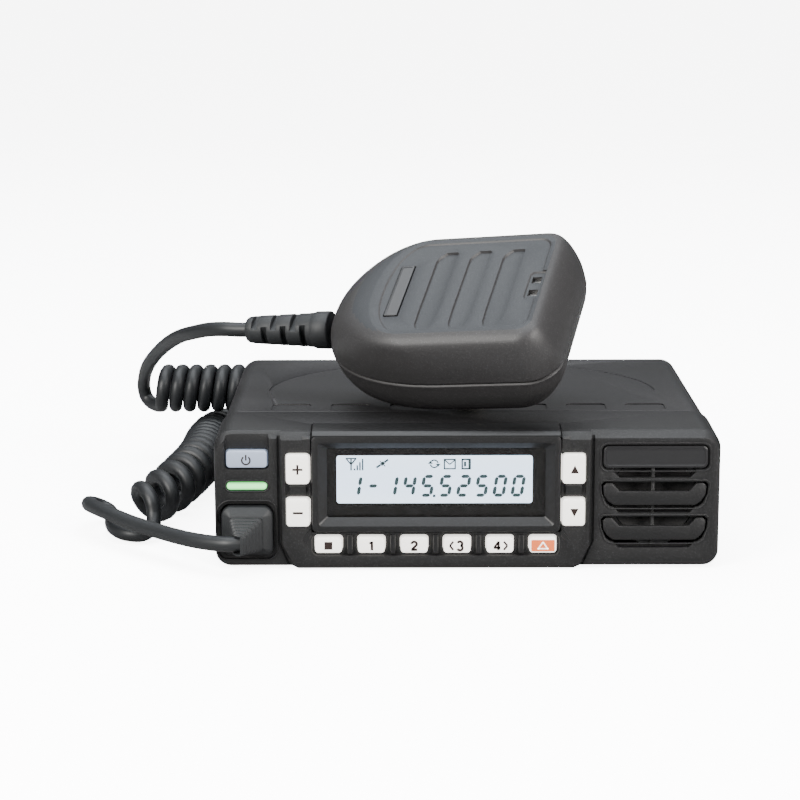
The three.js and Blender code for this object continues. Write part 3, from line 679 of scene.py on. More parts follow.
def face_cutter(outline, depth, edge=0.35):
    """A cutter for a pocket in the face, wider at its mouth by edge."""
    centre = sum((Vector(p) for p in outline), Vector((0, 0))) / len(outline)
    floor = FACE_FLOOR[0] - depth
    loops = []
    for z, grow in ((floor, 0.0), (FACE_FLOOR[0] + 0.02, edge), (FACE_FLOOR[0] + 3, edge)):
        ring = []
        for p in outline:
            out = Vector(p) - centre
            out = Vector((math.copysign(grow, out.x), math.copysign(grow, out.y)))
            ring.append((p[0] + out.x, p[1] + out.y, z))
        loops.append(ring)
    return object_of("cutter", loft(loops))


def bar_outline(x):
    """A recessed bar: its far left corner is cut off, and its near end is narrower."""
    half, narrow, reach = 3.3, 2.4, 18.7
    return [(x - narrow, -reach), (x + narrow - 0.6, -reach), (x + narrow + 0.3, -reach + 1.6),
            (x + half, -12), (x + half, reach - 0.6), (x + half - 0.6, reach), (x - 0.6, reach),
            (x - half + 0.5, reach - 2.6), (x - half, reach - 4.6), (x - half, -11),
            (x - narrow - 0.7, -reach + 2)]


def make_mic_front():
    levels = smooth_levels(FRONT_LEVELS)
    low, left, right, half, corner, join = FRONT_LEVELS[0]
    foot = (low, left + 0.5, right - 0.5, half - 0.5, corner, join)
    eased = (low + 0.5, left, right, half, corner, join)
    skin = [foot, eased, *[v for v in levels if v[0] > 0.6], FACE_BAND, FACE_FLOOR]
    shell = object_of("mic_front", loft([mic_loop(v) for v in skin]), MIC_BLACK, 30)
    tools = [mic_hollow(FRONT_LEVELS, -1, 14.6)]
    tools += [face_cutter(bar_outline(x), 0.85, 0.2) for x in (-1.85, 9.6, 21.05)]
    tools.append(face_cutter([(-17, -12.6), (-12, -12.6), (-12, 12.6), (-17, 12.6)], 0.6, 0.1))
    patch = [(29.2, -5.4), (30.2, -6.4), (34, -6.4), (34, 6.4), (30.2, 6.4), (29.2, 5.4)]
    tools.append(face_cutter(patch, 0.55))
    for y in (-3.15, 3.15):
        tools.append(block("hole", (29.9, y - 1.5, 10), (33.0, y + 1.5, 20)))
    tools.append(block("slot", (7.5, 22, -3), (33.5, 36, 11.9)))
    combine(shell, *tools)
    shell.data.materials.append(MIC_FACE_GRAIN_AND_PAINTED_SHEEN)
    # Faces turned straight up on the face plate take the face material with its painted blue sheen.
    for face in shell.data.polygons:
        face.material_index = int(face.normal.z > 0.95 and face.center.z > 15 * MM)
    soften(shell, 0.16, 2, angle=38, crisp=30)
    place_on_mic(shell)
    return ride(shell, "microphone", ("mic_front_shell",))


def make_mic_rear():
    levels = smooth_levels(REAR_LEVELS)
    z, left, right, half, corner, join = REAR_LEVELS[-1]
    lip = (z, left + 0.5, right - 0.5, half - 0.5, corner, join)
    eased = (z - 0.5, left, right, half, corner, join)
    skin = [*[v for v in levels if v[0] < z - 0.6], eased, lip]
    shell = object_of("mic_rear", loft([mic_loop(v) for v in skin]), MIC_BLACK, 30)
    tools = [mic_hollow(REAR_LEVELS, -12.1, 1)]
    for x, y in ((-30, 0), (28, -17), (28, 17)):
        tools.append(rod("screw_hole", (x, y, -17), (0, 0, 1), 2.3, 5.5))
        tools.append(rod("screw_bore", (x, y, -17), (0, 0, 1), 1.4, 9))
    swing = Matrix.Translation((0, 0, -14.9 * MM)) @ Matrix.Rotation(math.pi / 2, 4, "X")
    for x in (-20, -14, 14, 20):
        tools.append(stacked("groove", (x - 0.8, x + 0.8, -15, 15), 0.7, ((0, 0), (1, 0))))
        tools[-1].data.transform(swing)
    combine(shell, *tools)
    soften(shell, 0.16, 2, angle=38, crisp=30)
    place_on_mic(shell)
    return ride(shell, "microphone", ("mic_rear_shell",))


def make_mic_badge():
    plate = stacked("badge", (-16.8, -12.2, -12.4, 12.4), 0.5, rounded_profile(16.5, 15.6, 0.2))
    combine(plate, stacked("field", (-16.2, -12.8, -11.8, 11.8), 0.3, ((15.0, 0), (15.72, 0))))
    plate.name = "mic_badge_plate"
    plate.data.materials.append(BADGE_BLACK)
    # The plate is drawn facing -Y, so it is turned to face out of the microphone.
    swing = Matrix.Rotation(-math.pi / 2, 4, "X")
    plate.data.transform(Matrix.Translation((0, 0, 33 * MM)) @ swing)
    shade(plate)
    place_on_mic(plate)
    return ride(plate, "microphone", ("mic_badge",))


def make_talk_key():
    x0, x1, z0, z1, inner, outer = 8, 33, 0.9, 11.4, 24.4, 32.6
    loops = []
    steps = 10
    for k in range(steps + 1):
        share = k / steps
        y = inner + (outer - inner) * share
        inset = 0 if share < 0.7 else 1.6 * (1 - math.sqrt(max(0, 1 - ((share - 0.7) / 0.3) ** 2)))
        loops.append([(x, y, z) for x, z in inset_rect((x0, x1, z0, z1), 2.2, inset)])
    key = object_of("talk_key_cap", loft(loops), RUBBER, 40)
    groove = rod("groove", (0, 0, -1), (0, 0, 1), 0.45, 9, 10, RUBBER)
    grooves = repeat("grooves", groove, 7, (12.5, outer + 0.1, 2.2), (2.6, 0, 0))
    combine(key, grooves)
    place_on_mic(key)
    return ride(key, "talk_key", ("ptt_key",))


def make_strain_relief():
    tilt = Vector((0, 0, 1)).rotation_difference(RELIEF_AXIS).to_matrix().to_4x4()
    place = Matrix.Translation(RELIEF_START) @ tilt
    profile = [(0, 0), (6.1, 0), (6.4, 0.4), (6.3, 5), (6.0, 5.6), (5.8, 6.4), (4.75, 27), (4.4, 29.4),
               (4.0, 30), (0, 30)]
    relief = turned("mic_strain_relief_finished", profile, place, 40, RUBBER, 40)
    slots = []
    for k in range(6):
        near = 7.6 + 3.55 * k
        for side in (0, 180):
            turn = math.radians(side + (90 if k % 2 else 0))
            slot = block("slot", (-5.2, -1.05, 3.1), (5.2, 1.05, 9))
            swing = Matrix.Rotation(turn, 4, "Z") @ Matrix.Rotation(math.pi / 2, 4, "X")
            lift = Matrix.Translation((0, 0, near * MM + 1.05 * MM))
            slot.data.transform(scaled(place) @ lift @ swing)
            slots.append(slot)
    combine(relief, *slots)
    soften(relief, 0.25, 2, angle=40, crisp=40)
    place_on_mic(relief)
    return ride(relief, "microphone", ("mic_strain_relief",))


def make_microphone():
    make_mic_front()
    make_mic_rear()
    make_mic_badge()
    make_talk_key()
    return make_strain_relief()


# ---------------------------------------------------------------- curly cord
CORD_DIAMETER = 5.0
COIL_TURN_RADIUS = 6.7
CLOSE_PITCH = 5.35                   # between turns where the coil lies relaxed
STRETCH = 12.0                       # added to the pitch at the plug's end of the coil
STRETCH_REACH = 80.0                 # the coil is relaxed from here on
STEPS_PER_TURN = 20
LEAN = math.radians(38)              # of the turns at the plug's end, against the coil's axis
LEAN_REACH = 62.0
TIP = 0.75                           # how far the tops lean forwards, as a share of LEAN
JOIN_START, JOIN_END = 5, 8          # steps left off the helix where the straight leads join it

PLUG_LEAD = [
    (-71, -73.4, 10.6), (-75, -73.1, 10.4), (-80, -70.5, 10), (-86, -66, 9.6), (-92, -60.4, 9.3),
    (-98, -54.4, 9.2), (-104, -48.6, 9.3), (-110, -42.6, 9.6), (-116, -36.2, 10.1), (-121.4, -29.4, 10.3),
    (-125.4, -22, 9.8), (-127, -15, 8.6), (-126.9, -10, 7.3), (-124.9, -6.9, 5.9), (-121.9, -7, 4.5),
    (-119.9, -10.4, 3.5), (-119.1, -16.4, 2.9), (-117.8, -23.4, 2.8), (-115, -29.6, 2.8), (-111, -33.4, 2.8),
    (-106.6, -33.9, 2.9), (-103.6, -31.2, 4.8)]
COIL = [
    (-108.8, -27.2, 9.2), (-105, -12.4, 9.4), (-101, 3, 9.4), (-97.4, 24, 9.4), (-95.2, 42, 9.4),
    (-94.3, 58, 9.4), (-94, 73, 9.4), (-92.2, 86, 9.4), (-86.6, 96, 9.4), (-77, 99.4, 9.4),
    (-67, 96.4, 9.4), (-59, 90.6, 9.4), (-51, 86.4, 9.4), (-42, 84.4, 9.4), (-30, 84, 9.4), (-16, 84, 9.4),
    (2, 85.4, 9.4), (15.4, 91, 9.4), (21, 99.6, 9.4), (21, 105, 9.4), (21, 110.8, 9.4), (15.4, 119.4, 9.4),
    (3, 124.4, 9.4), (-10, 121.6, 9.4), (-20, 114, 11), (-30, 104.6, 17.2), (-42, 94.8, 25.8),
    (-54, 87, 28.6), (-68, 83, 28.6), (-88, 82, 28.6), (-114.4, 82, 28.6)]
MIC_LEAD = [
    (-116.4, 86, 21.8), (-119, 88.4, 23.9), (-119.8, 87.6, 28), (-119, 83.5, 32.3), (-117, 75, 37.5),
    (-113.6, 64, 43.2),
    (-108.9, 51.4, 49.2), (-104, 38.4, 54.4), (-98.7, 25.4, 58.9), (-93, 14, 62.2), (-87, 6, 64.6),
    (-81, 0.8, 65.7)]


def coil_turns():
    """The helix about the coil's axis, left-handed from the plug's end, starting underneath."""
    axis = smooth_curve(COIL, 40)
    run, turn, points = 0.0, 0.0, []
    next_turn = 0.0
    for here, there in zip(axis, axis[1:]):
        step = (there - here).length
        pitch = CLOSE_PITCH + STRETCH * max(0.0, 1 - run / STRETCH_REACH)
        way = (there - here) / step
        down = (way * way.z - Vector((0, 0, 1))).normalized()
        lean = LEAN * max(0.0, 1 - run / LEAN_REACH)
        side = down.cross(way) * math.cos(lean) - way * math.sin(lean)
        down = down * math.cos(lean * TIP) + way * math.sin(lean * TIP)
        while next_turn <= turn + step / pitch:
            share = (next_turn - turn) * pitch / step
            angle = 2 * math.pi * next_turn
            centre = here.lerp(there, share)
            points.append(centre + COIL_TURN_RADIUS * (down * math.cos(angle) + side * math.sin(angle)))
            next_turn += 1 / STEPS_PER_TURN
        turn += step / pitch
        run += step
    return points


def cord_path():
    turns = coil_turns()[JOIN_START:-JOIN_END]
    relief_end = mic_point(RELIEF_START + RELIEF_AXIS * (RELIEF_LENGTH - 2))
    relief_mouth = mic_point(RELIEF_START + RELIEF_AXIS * (RELIEF_LENGTH + 4))
    lead_in = smooth_curve(PLUG_LEAD + turns[:2], 4)[:-5]
    lead_out = smooth_curve([*turns[-2:], *MIC_LEAD, relief_mouth, relief_end], 5)[6:]
    return lead_in + turns + lead_out


def make_cord():
    path = cord_path()
    cord = object_of("curly_cord", tube(path, CORD_DIAMETER / 2, 12), CORD_RUBBER, 60)
    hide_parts("cord_plug_lead", "cord_coil_lower", "cord_coil_upper", "cord_mic_lead")
    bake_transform(cord)
    return cord, path


# ---------------------------------------------------------------- front panel
BAND = 2.3                           # the light chamfer along the face's top edge
RECESS = (-78.2, -61.4, 4, 20.8)     # where the microphone's plug goes in
SLOT_X = (46.1, 72.3)
BADGE_RECT = (42.9, 75.8, 32.4, 39.5)
VANES = ((20.3, 27.5), (8.9, 16.2))
SECTION_LEFT, SECTION_RIGHT = CENTRE_LEFT + 1.45, CENTRE_RIGHT - 0.6
SECTION_GAP = 1.15                   # between the centre section and its neighbours
LED_LOW, LED_HIGH = span("led_window")


def cap_of(key):
    """The visible cap of a key, without the lip that holds it behind the panel: left, right, low, high."""
    low, high = span(key)
    lip = 0.8
    trims = {"key_power": (0, 0.2, 0, 0), "key_plus": (0.2, -0.15, 0.6, 0),
             "key_minus": (0.2, -0.15, 0.75, -0.35), "key_up": (-0.5, -0.95, 0.6, 0),
             "key_down": (-0.5, -0.95, 0.85, -0.5)}
    by = trims.get(key, (0, -0.95, 0.8, -0.4))
    edges = (low.x + lip, high.x - lip, low.z + lip, high.z - lip)
    return tuple(edge + trim for edge, trim in zip(edges, by))


def grown(rect, by):
    x0, x1, z0, z1 = rect
    return x0 - by, x1 + by, z0 - by, z1 + by


def panel_body():
    """The panel's outer shape: wide chamfer on top, narrow ones down the sides and underneath."""
    radii, side = (5, 5, 6, 6), 0.8
    loops = []
    for y, top, inset, foot in (
            (PANEL_BACK, PANEL_TOP, 0.3, 0.3), (PANEL_BACK - 0.4, PANEL_TOP, 0, 0),
            (FACE + BAND, FACE_TOP, 0, 0.2), (FACE + 0.25, FACE_TOP - BAND + 0.2, side - 0.15, 0.8),
            (FACE, FACE_TOP - BAND, side, 1.0)):
        grow = [max(r - inset, 1) for r in radii]
        rect = (-PANEL_HALF + inset, PANEL_HALF - inset, foot, top)
        loops.append(at_depth(rect_points(*rect, grow, 9), y))
    return object_of("front_panel_moulding", loft(loops), PANEL_BLACK)


def centre_section():
    """The raised middle of the face, with its lower corners cut off."""
    def outline(inset, top):
        x0, x1, low = SECTION_LEFT + inset, SECTION_RIGHT - inset, 0.3 + inset * 0.7
        return [(x0, top), (x0, 8.2), (x0 + 3.5, low + 0.9), (x0 + 5.3, low), (x1 - 5.2, low),
                (x1 - 3.3, low + 0.9), (x1, 8), (x1, top)]
    top = FACE_TOP - 0.05
    loops = [at_depth(outline(0, top), FACE + 6), at_depth(outline(0, top), CENTRE_FACE + BAND),
             at_depth(outline(0, top - BAND + 0.6), CENTRE_FACE + 0.6),
             at_depth(outline(0.45, top - BAND), CENTRE_FACE)]
    return object_of("centre", loft(loops))


def slot_outline(z0, z1, cut=2.0):
    x0, x1 = SLOT_X
    return [(x0 + cut, z0), (x1 - cut, z0), (x1, z0 + cut), (x1, z1), (x0, z1), (x0, z0 + cut)]


def vane_outline(z0, z1, grow=0.0, notch=True):
    """A grille vane: square above, drawn in below, with a notch in its top edge."""
    x0, x1 = 42.9 - grow, 75.6 + grow
    z0, z1 = z0 - grow, z1 + grow
    sole = [(x0, z1 - 1), (x0 + 0.3, z1 - 4), (x0 + 1.6, z0 + 1.4), (x0 + 3.1, z0 + 0.2), (x0 + 4.2, z0)]
    other = [(x1 - (x - x0), z) for x, z in reversed(sole)]
    head = [(x1 - 1, z1)]
    if notch:
        deep, slope, (s0, s1) = 2.6, 2.1, SLOT_X
        head += [(s1 + 0.2, z1), (s1 - slope, z1 - deep), (s0 + slope, z1 - deep), (s0 - 0.2, z1)]
    return sole + other + head + [(x0 + 1, z1)]


def make_front_panel():
    panel = panel_body()
    combine(panel, centre_section(), how="UNION")
    x0, x1 = -PANEL_HALF + 2.5, PANEL_HALF - 2.5
    tools = [stacked("cavity", (x0, x1, 2.5, 42), 3.5, ((PANEL_BACK + 1, 0), (FACE + 3.2, 0)))]
    # The slots between the three sections of the face.
    for x in (SECTION_LEFT - SECTION_GAP, SECTION_RIGHT):
        tools.append(block("groove", (x, FACE - 1, 8.6), (x + SECTION_GAP, FACE + 0.9, 50)))
    for x, way in ((SECTION_LEFT, 1), (SECTION_RIGHT, -1)):
        back = x - way * SECTION_GAP
        slanted = [(back, 8.8), (back + way * 3.4, 0.8), (back + way * 4.4, 0.8), (x, 8.8)]
        tools.append(prism("groove_foot", slanted, FACE - 1, FACE + 0.9))
    # The pocket of the display, and the slot over it for its hood.
    bezel = (*SURROUND[:3], 43.4)
    tools.append(stacked("bezel_hole", grown(bezel, 0.3), 0.8, ((FACE + 5, 0), (FACE - 9, 0))))
    tools.append(block("hood_slot", (bezel[0] - 0.3, FACE - 9, 42), (bezel[1] + 0.3, BEZEL_HIGH.y + 0.3, 50)))
    combine(panel, *tools)
    tools = []
    # One long channel holds the lower keys; two upright ones hold the side keys.
    first, last = cap_of(LOWER_KEYS[0]), cap_of(LOWER_KEYS[-1])
    channel = (first[0] - 1.3, last[1] + 1.3, first[2] - 1.5, first[3] + 0.9)
    tools.append(stacked("channel", channel, 2.2, ((CENTRE_FACE + 1.5, 0.5), (CENTRE_FACE - 1, 0))))
    for above, below in (("key_plus", "key_minus"), ("key_up", "key_down")):
        high, low = cap_of(above), cap_of(below)
        well = (high[0] - 0.5, high[1] + 0.5, low[2] - 0.5, high[3] + 0.5)
        tools.append(stacked("well", well, 1.6, ((CENTRE_FACE + 1.3, 0.3), (CENTRE_FACE - 1, 0))))
    tools.append(stacked("led_hole", grown((LED_LOW.x, LED_HIGH.x, LED_LOW.z, LED_HIGH.z), 0.1), 1.5,
                         ((FACE + 5, 0), (FACE - 1, 0))))
    power = cap_of("key_power")
    ramp = (power[0] - 0.8, power[1] + 0.8, power[2] - 0.7, 50)
    tools.append(stacked("power_channel", ramp, (1.6, 1.6, 1, 1),
                         ((FACE + 1.3, 0.6), (FACE - 0.2, 0), (FACE - 2, 0))))
    # The step round the plug's recess, the recess itself and the way out of it for the cord.
    step = grown(RECESS, 1.2)
    tools.append(stacked("recess_step", step, (3.4, 3.4, 3.6, 4.6), ((FACE + 0.9, 0.25), (FACE - 1, -0.1))))
    combine(panel, *tools)
    tools = [stacked("recess", RECESS, 3, ((FACE + 8, 0), (FACE - 1, 0)))]
    tools.append(stacked("cord_way", (-90, -74, 6.2, 14.8), 1.2, ((FACE + 2.6, 0), (FACE - 1, 0))))
    for key in LOWER_KEYS + SIDE_KEYS:
        tools.append(stacked("key_hole", grown(cap_of(key), 0.3), 1.3, ((FACE + 5, 0), (FACE - 9, 0))))
    combine(panel, *tools)
    combine(panel, stacked("power_hole", grown(power, 0.35), 1.3, ((FACE + 5.1, 0), (FACE - 5.5, 0))))
    tools = [stacked("badge_hole", grown(BADGE_RECT, 0.55), 2, ((FACE + 1.5, 0), (FACE - 1, 0)))]
    tools.append(prism("slot", slot_outline(29.3, 33), FACE - 1, FACE + 5))
    combine(panel, *tools)
    for z0, z1 in VANES:
        combine(panel, prism("vane_hole", vane_outline(z0, z1, 0.6, False), FACE - 1, FACE + 5))
        combine(panel, prism("slot", slot_outline(z0 - 2.4, z0 + 0.6), FACE - 1, FACE + 5))
    soften(panel, 0.22, 2, angle=24, crisp=32)
    return ride(panel, "root", ("front_panel",))


def make_face_rims():
    """The thin raised beads round the openings of the face."""
    led = (LED_LOW.x, LED_HIGH.x, LED_LOW.z, LED_HIGH.z)
    beads = [("led_bead", rect_points(*grown(led, 0.45), 1.8, 8), FACE, 0.3),
             ("recess_bead", rect_points(*grown(RECESS, 1.25), (3.4, 3.4, 3.6, 4.6), 8), FACE + 0.05, 0.28),
             ("badge_bead", rect_points(*grown(BADGE_RECT, 1.0), 2.4, 6), FACE, 0.22)]
    beads += [(f"vane_bead_{i}", vane_outline(z0, z1, 1.05, False), FACE, 0.22)
              for i, (z0, z1) in enumerate(VANES, 1)]
    for name, outline, y, radius in beads:
        bead = object_of(name, tube(at_depth(outline, y), radius, 8, ring=True), PANEL_BLACK, 60)
        ride(bead, "root")
    # Upright ribs between the lower keys, drawn once and set in a row.
    first, second = cap_of(LOWER_KEYS[0]), cap_of(LOWER_KEYS[1])
    gap, pitch = second[0] - first[1], second[0] - first[0]
    rib = stacked("rib", (-0.85, 0.85, first[2] - 0.6, first[3] + 0.7), 0.4,
                  rounded_profile(CENTRE_FACE + 1.5, CENTRE_FACE - 0.25, 0.4), BEZEL_BLACK)
    ribs = repeat("key_ribs", rib, len(LOWER_KEYS) - 1, (first[1] + gap / 2, 0, 0), (pitch, 0, 0))
    ride(ribs, "root")
    for above, below in (("key_plus", "key_minus"), ("key_up", "key_down")):
        high, low = cap_of(above), cap_of(below)
        bridge = stacked(f"bridge_{above}", (high[0] + 0.9, high[1] - 0.9, low[3] + 0.8, high[2] - 0.8), 0.5,
                         rounded_profile(CENTRE_FACE + 1.3, CENTRE_FACE + 0.35, 0.3), BEZEL_BLACK)
        ride(bridge, "root")
    # Sloping gussets where the display's surround meets the face.
    lift, root = BEZEL_LOW.y + 0.9, CENTRE_FACE + 0.6
    rise = CENTRE_FACE - 0.05
    for side, x, way in (("left", SURROUND[0] - 0.32, -1), ("right", SURROUND[1] + 0.32, 1)):
        out = x + way * 2.6
        upper = [(x, root, 43.3), (x, lift, 42.6), (x, lift, 38.6), (x, root, 37.6),
                 (out, rise, 42.2), (out, root, 43.3), (out, rise, 39.2), (out, root, 39.0)]
        lower = [(x, root, 13.2), (x, lift, 13.2), (x, lift, 11.3), (x - way * 0.1, root, 9.6),
                 (out, rise, 9.8), (out, root, 9.8), (out - way * 0.4, CENTRE_FACE - 0.02, 8.4)]
        for place, corners in (("upper", upper), ("lower", lower)):
            bm = bmesh.new()
            bmesh.ops.convex_hull(bm, input=[bm.verts.new(c) for c in corners])
            bmesh.ops.dissolve_limit(bm, angle_limit=0.02, verts=bm.verts, edges=bm.edges)
            bmesh.ops.recalc_face_normals(bm, faces=bm.faces)
            ride(object_of(f"gusset_{side}_{place}", bm, PANEL_BLACK, 20), "root")


# ---------------------------------------------------------------- display
WINDOW = (-44.3, 24.7, 16.9, 39.5)
OPENING = (-46.7, 27.2, 14.8, 41.1)
SURROUND = (BEZEL_LOW.x + 0.4, BEZEL_HIGH.x - 0.7, BEZEL_LOW.z, 43.6)
LCD = (-41.2, 20.6, 21.2, 36.7)


def make_bezel():
    """The display's surround: a frame with a sloping inside, and a hood over it."""
    front, back = BEZEL_LOW.y, FACE + 2.4
    floor = FACE - 1.55
    outer, mouth, glass = (SURROUND, 1.6), (OPENING, 1.0), (WINDOW, 0.6)
    loops = [at_depth(inset_rect(*shape, inset, 5), y) for shape, inset, y in (
        (outer, 0, back), (outer, 0, front + 0.5), (outer, 0.15, front + 0.15), (outer, 0.5, front),
        (mouth, -0.3, front), (mouth, 0, front + 0.25), (glass, 0.0, floor - 0.1), (glass, 0.1, floor),
        (glass, 0.1, floor + 0.12), (glass, -2.6, floor + 0.12), (glass, -2.6, back))]
    surround = object_of("display_surround", loft(loops, ring=True), BEZEL_BLACK, 28)
    ride(surround, "root", ("display_bezel",))
    top, edge = BEZEL_HIGH.z, 1.2
    x0, x1 = SURROUND[:2]
    side = [(front + 0.1, 43.2), (front + 0.05, top - edge), (front + 0.35, top - edge + 0.25),
            (front + edge + 0.1, top - 0.12), (front + edge + 0.5, top), (BEZEL_HIGH.y - 0.5, top),
            (BEZEL_HIGH.y - 0.1, top - 0.12), (BEZEL_HIGH.y, top - 0.5), (BEZEL_HIGH.y, 43.2)]
    middle = sum(y for y, _ in side) / len(side)
    loops = []
    for x, tuck in ((x0, 0.35), (x0 + 0.35, 0), (x1 - 0.35, 0), (x1, 0.35)):
        loops.append([(x, y + (tuck if y < middle else -tuck), z - (tuck if z > 43.3 else 0))
                      for y, z in side])
    hood = object_of("display_hood", loft(loops), BEZEL_BLACK, 28)
    ride(hood, "root")


def flat_shape(name, outlines, y, thickness, material, body):
    """Thin printed shapes facing the front, each a closed outline in X and Z."""
    bm = bmesh.new()
    for outline in outlines:
        for loop in (at_depth(outline, y), at_depth(outline, y - thickness)):
            for p in loop:
                bm.verts.new(p)
        bm.verts.ensure_lookup_table()
        count = len(outline)
        base = len(bm.verts) - 2 * count
        low, high = bm.verts[base:base + count], bm.verts[base + count:]
        for i in range(count):
            j = (i + 1) % count
            bm.faces.new((low[i], low[j], high[j], high[i]))
        bm.faces.new(low[::-1])
        bm.faces.new(high)
    bmesh.ops.recalc_face_normals(bm, faces=bm.faces)
    return ride(object_of(name, bm, material), body)


def bar(x0, z0, x1, z1, width):
    """A straight stroke as an outline."""
    along = Vector((x1 - x0, z1 - z0)).normalized() * width / 2
    a, b = -along.y, along.x
    return [(x0 - a, z0 - b), (x1 - a, z1 - b), (x1 + a, z1 + b), (x0 + a, z0 + b)]


def arc_bars(x, z, radius, start, stop, width, steps=10):
    """A round stroke made of short straight ones."""
    def at(k, r):
        turn = math.radians(start + (stop - start) * k / steps)
        return x + r * math.cos(turn), z + r * math.sin(turn)
    inner, outer = radius - width / 2, radius + width / 2
    return [[at(k, inner), at(k + 1, inner), at(k + 1, outer), at(k, outer)] for k in range(steps)]


SEGMENTS = {"0": "abcdef", "1": "bc", "2": "abged", "4": "fgbc", "5": "afgcd", "-": "g"}


def digit(symbol, x, z, width, height, stroke, slant=0.16):
    """A slanted seven-segment figure as mitred strokes."""
    cut, gap = stroke / 2, 0.1
    w, h = width / 2, height / 2

    def level(zc, trim):
        a, b = -w + gap + trim, w - gap - trim
        return [(a, zc), (a + cut, zc + cut), (b - cut, zc + cut), (b, zc), (b - cut, zc - cut),
                (a + cut, zc - cut)]

    def upright(xc, low, high):
        a, b = low + gap, high - gap
        return [(xc, a), (xc + cut, a + cut), (xc + cut, b - cut), (xc, b), (xc - cut, b - cut),
                (xc - cut, a + cut)]
    shapes = {"a": level(h, 0), "g": level(0, 0), "d": level(-h, 0), "f": upright(-w, 0, h),
              "b": upright(w, 0, h), "e": upright(-w, -h, 0), "c": upright(w, -h, 0)}
    return [[(x + px + slant * pz, z + pz) for px, pz in shapes[s]] for s in SEGMENTS[symbol]]


def display_marks():
    """The lit figures and the row of small marks over them."""
    marks = []
    text, first, pitch = "1-14552500", -35.4, 5.72
    for k, symbol in enumerate(text):
        marks += digit(symbol, first + k * pitch, 26.85, 2.9, 6.1, 1.08)
    stop_x = first + 4.5 * pitch - 0.75
    marks.append(bar(stop_x - 0.4, 23.6, stop_x + 0.4, 23.6, 0.8))
    # Aerial with four bars of rising height.
    marks += [bar(-36.6, 31.9, -36.6, 35.7, 0.5), bar(-38.1, 35.7, -36.6, 33.8, 0.42),
              bar(-35.1, 35.7, -36.6, 33.8, 0.42), bar(-38.3, 35.75, -34.9, 35.75, 0.42)]
    marks += [bar(-35.5 + 0.85 * k, 31.9, -35.5 + 0.85 * k, 32.5 + 1.05 * k, 0.46) for k in range(4)]
    # A small craft with two wings.
    marks += [bar(-28.6, 32.8, -27.3, 33.7, 0.6), bar(-26.1, 34.5, -24.9, 35.4, 0.6),
              bar(-27.5, 34.9, -25.8, 33.2, 0.3), bar(-27.2, 33.7, -26.2, 34.5, 1.0)]
    # Two chasing arrows.
    marks += arc_bars(-10.4, 34.0, 1.2, 10, 140, 0.42) + arc_bars(-10.4, 34.0, 1.2, 190, 320, 0.42)
    marks += [[(-10.0, 34.0), (-8.4, 34.0), (-9.2, 33.0)], [(-10.8, 34.0), (-12.4, 34.0), (-11.6, 35.0)]]
    # An envelope.
    marks += [bar(-7.4, 32.4, -3.6, 32.4, 0.42), bar(-7.4, 35.4, -3.6, 35.4, 0.42),
              bar(-7.2, 32.4, -7.2, 35.4, 0.42), bar(-3.8, 32.4, -3.8, 35.4, 0.42),
              bar(-7.1, 35.2, -5.5, 33.8, 0.36), bar(-3.9, 35.2, -5.5, 33.8, 0.36)]
    # A dark block with a light step in it.
    marks += [bar(-1.85, 32.4, 1.15, 32.4, 0.5), bar(-1.85, 35.4, 1.15, 35.4, 0.5),
              bar(-1.6, 32.4, -1.6, 35.4, 0.5), bar(0.75, 32.4, 0.75, 35.4, 0.8),
              bar(-0.7, 33.1, -0.7, 34.7, 0.7)]
    return marks


def make_display():
    low, high = span("display_module")
    x0, x1, z0, z1 = WINDOW
    glass = stacked("display_glass", (x0 - 1.4, x1 + 1.4, z0 - 1.4, z1 + 1.2), 0.4,
                    ((high.y, 0.2), (low.y + 0.2, 0), (low.y + 0.05, 0.15)), MASK_BLACK)
    ride(glass, "root", ("display_module",))
    lit_front = low.y - 0.02
    panel = stacked("display_backlight_panel", LCD, 0.9, ((low.y + 0.3, 0), (lit_front, 0)), LCD_LIT, 5)
    ride(panel, "root")
    flat_shape("display_figures", display_marks(), lit_front - 0.01, 0.03, SEGMENT_TEAL, "root")


def make_led():
    """The status light: a rounded bar that stands a little out of the face."""
    rect = (LED_LOW.x, LED_HIGH.x, LED_LOW.z, LED_HIGH.z)
    front = LED_LOW.y
    profile = ((LED_HIGH.y, 0.1), (front + 0.4, 0.1), (front + 0.15, 0.2), (front + 0.04, 0.4), (front, 0.75))
    bulb = stacked("status_light", rect, 1.35, profile, LED_GREEN, 8, 60)
    ride(bulb, "root", ("led_window",))


# ---------------------------------------------------------------- keys
def make_key(name, material):
    """A key cap with a rounded front edge and its stem behind."""
    rect = cap_of(name)
    low, high = span(name)
    front = low.y
    profile = [(high.y - 1.2, 0.0), (front + 0.55, 0.0)]
    profile += [(front + 0.55 - 0.4 * math.sin(a), 0.4 - 0.4 * math.cos(a)) for a in (0.5, 1.0, math.pi / 2)]
    profile += [(front + 0.06, 1.2), (front, 2.2)]
    cap = stacked(name + "_cap", rect, 1.1, profile, material, 6)
    lip = grown(rect, 0.35)
    stem = block("stem", (lip[0], high.y - 1.3, lip[2]), (lip[1], high.y - 0.7, lip[3]))
    rod_x, rod_z = (low.x + high.x) / 2, (low.z + high.z) / 2
    plunger = block("plunger", (rod_x - 1.5, high.y - 1, rod_z - 1.5), (rod_x + 1.5, high.y, rod_z + 1.5))
    combine(cap, stem, plunger, how="UNION")
    shade(cap, 40)
    return ride(cap, name + "_body", (name,))


def make_keys():
    for name in LOWER_KEYS + SIDE_KEYS:
        make_key(name, KEY_WHITE)
    make_key("key_power", KEY_GREY)


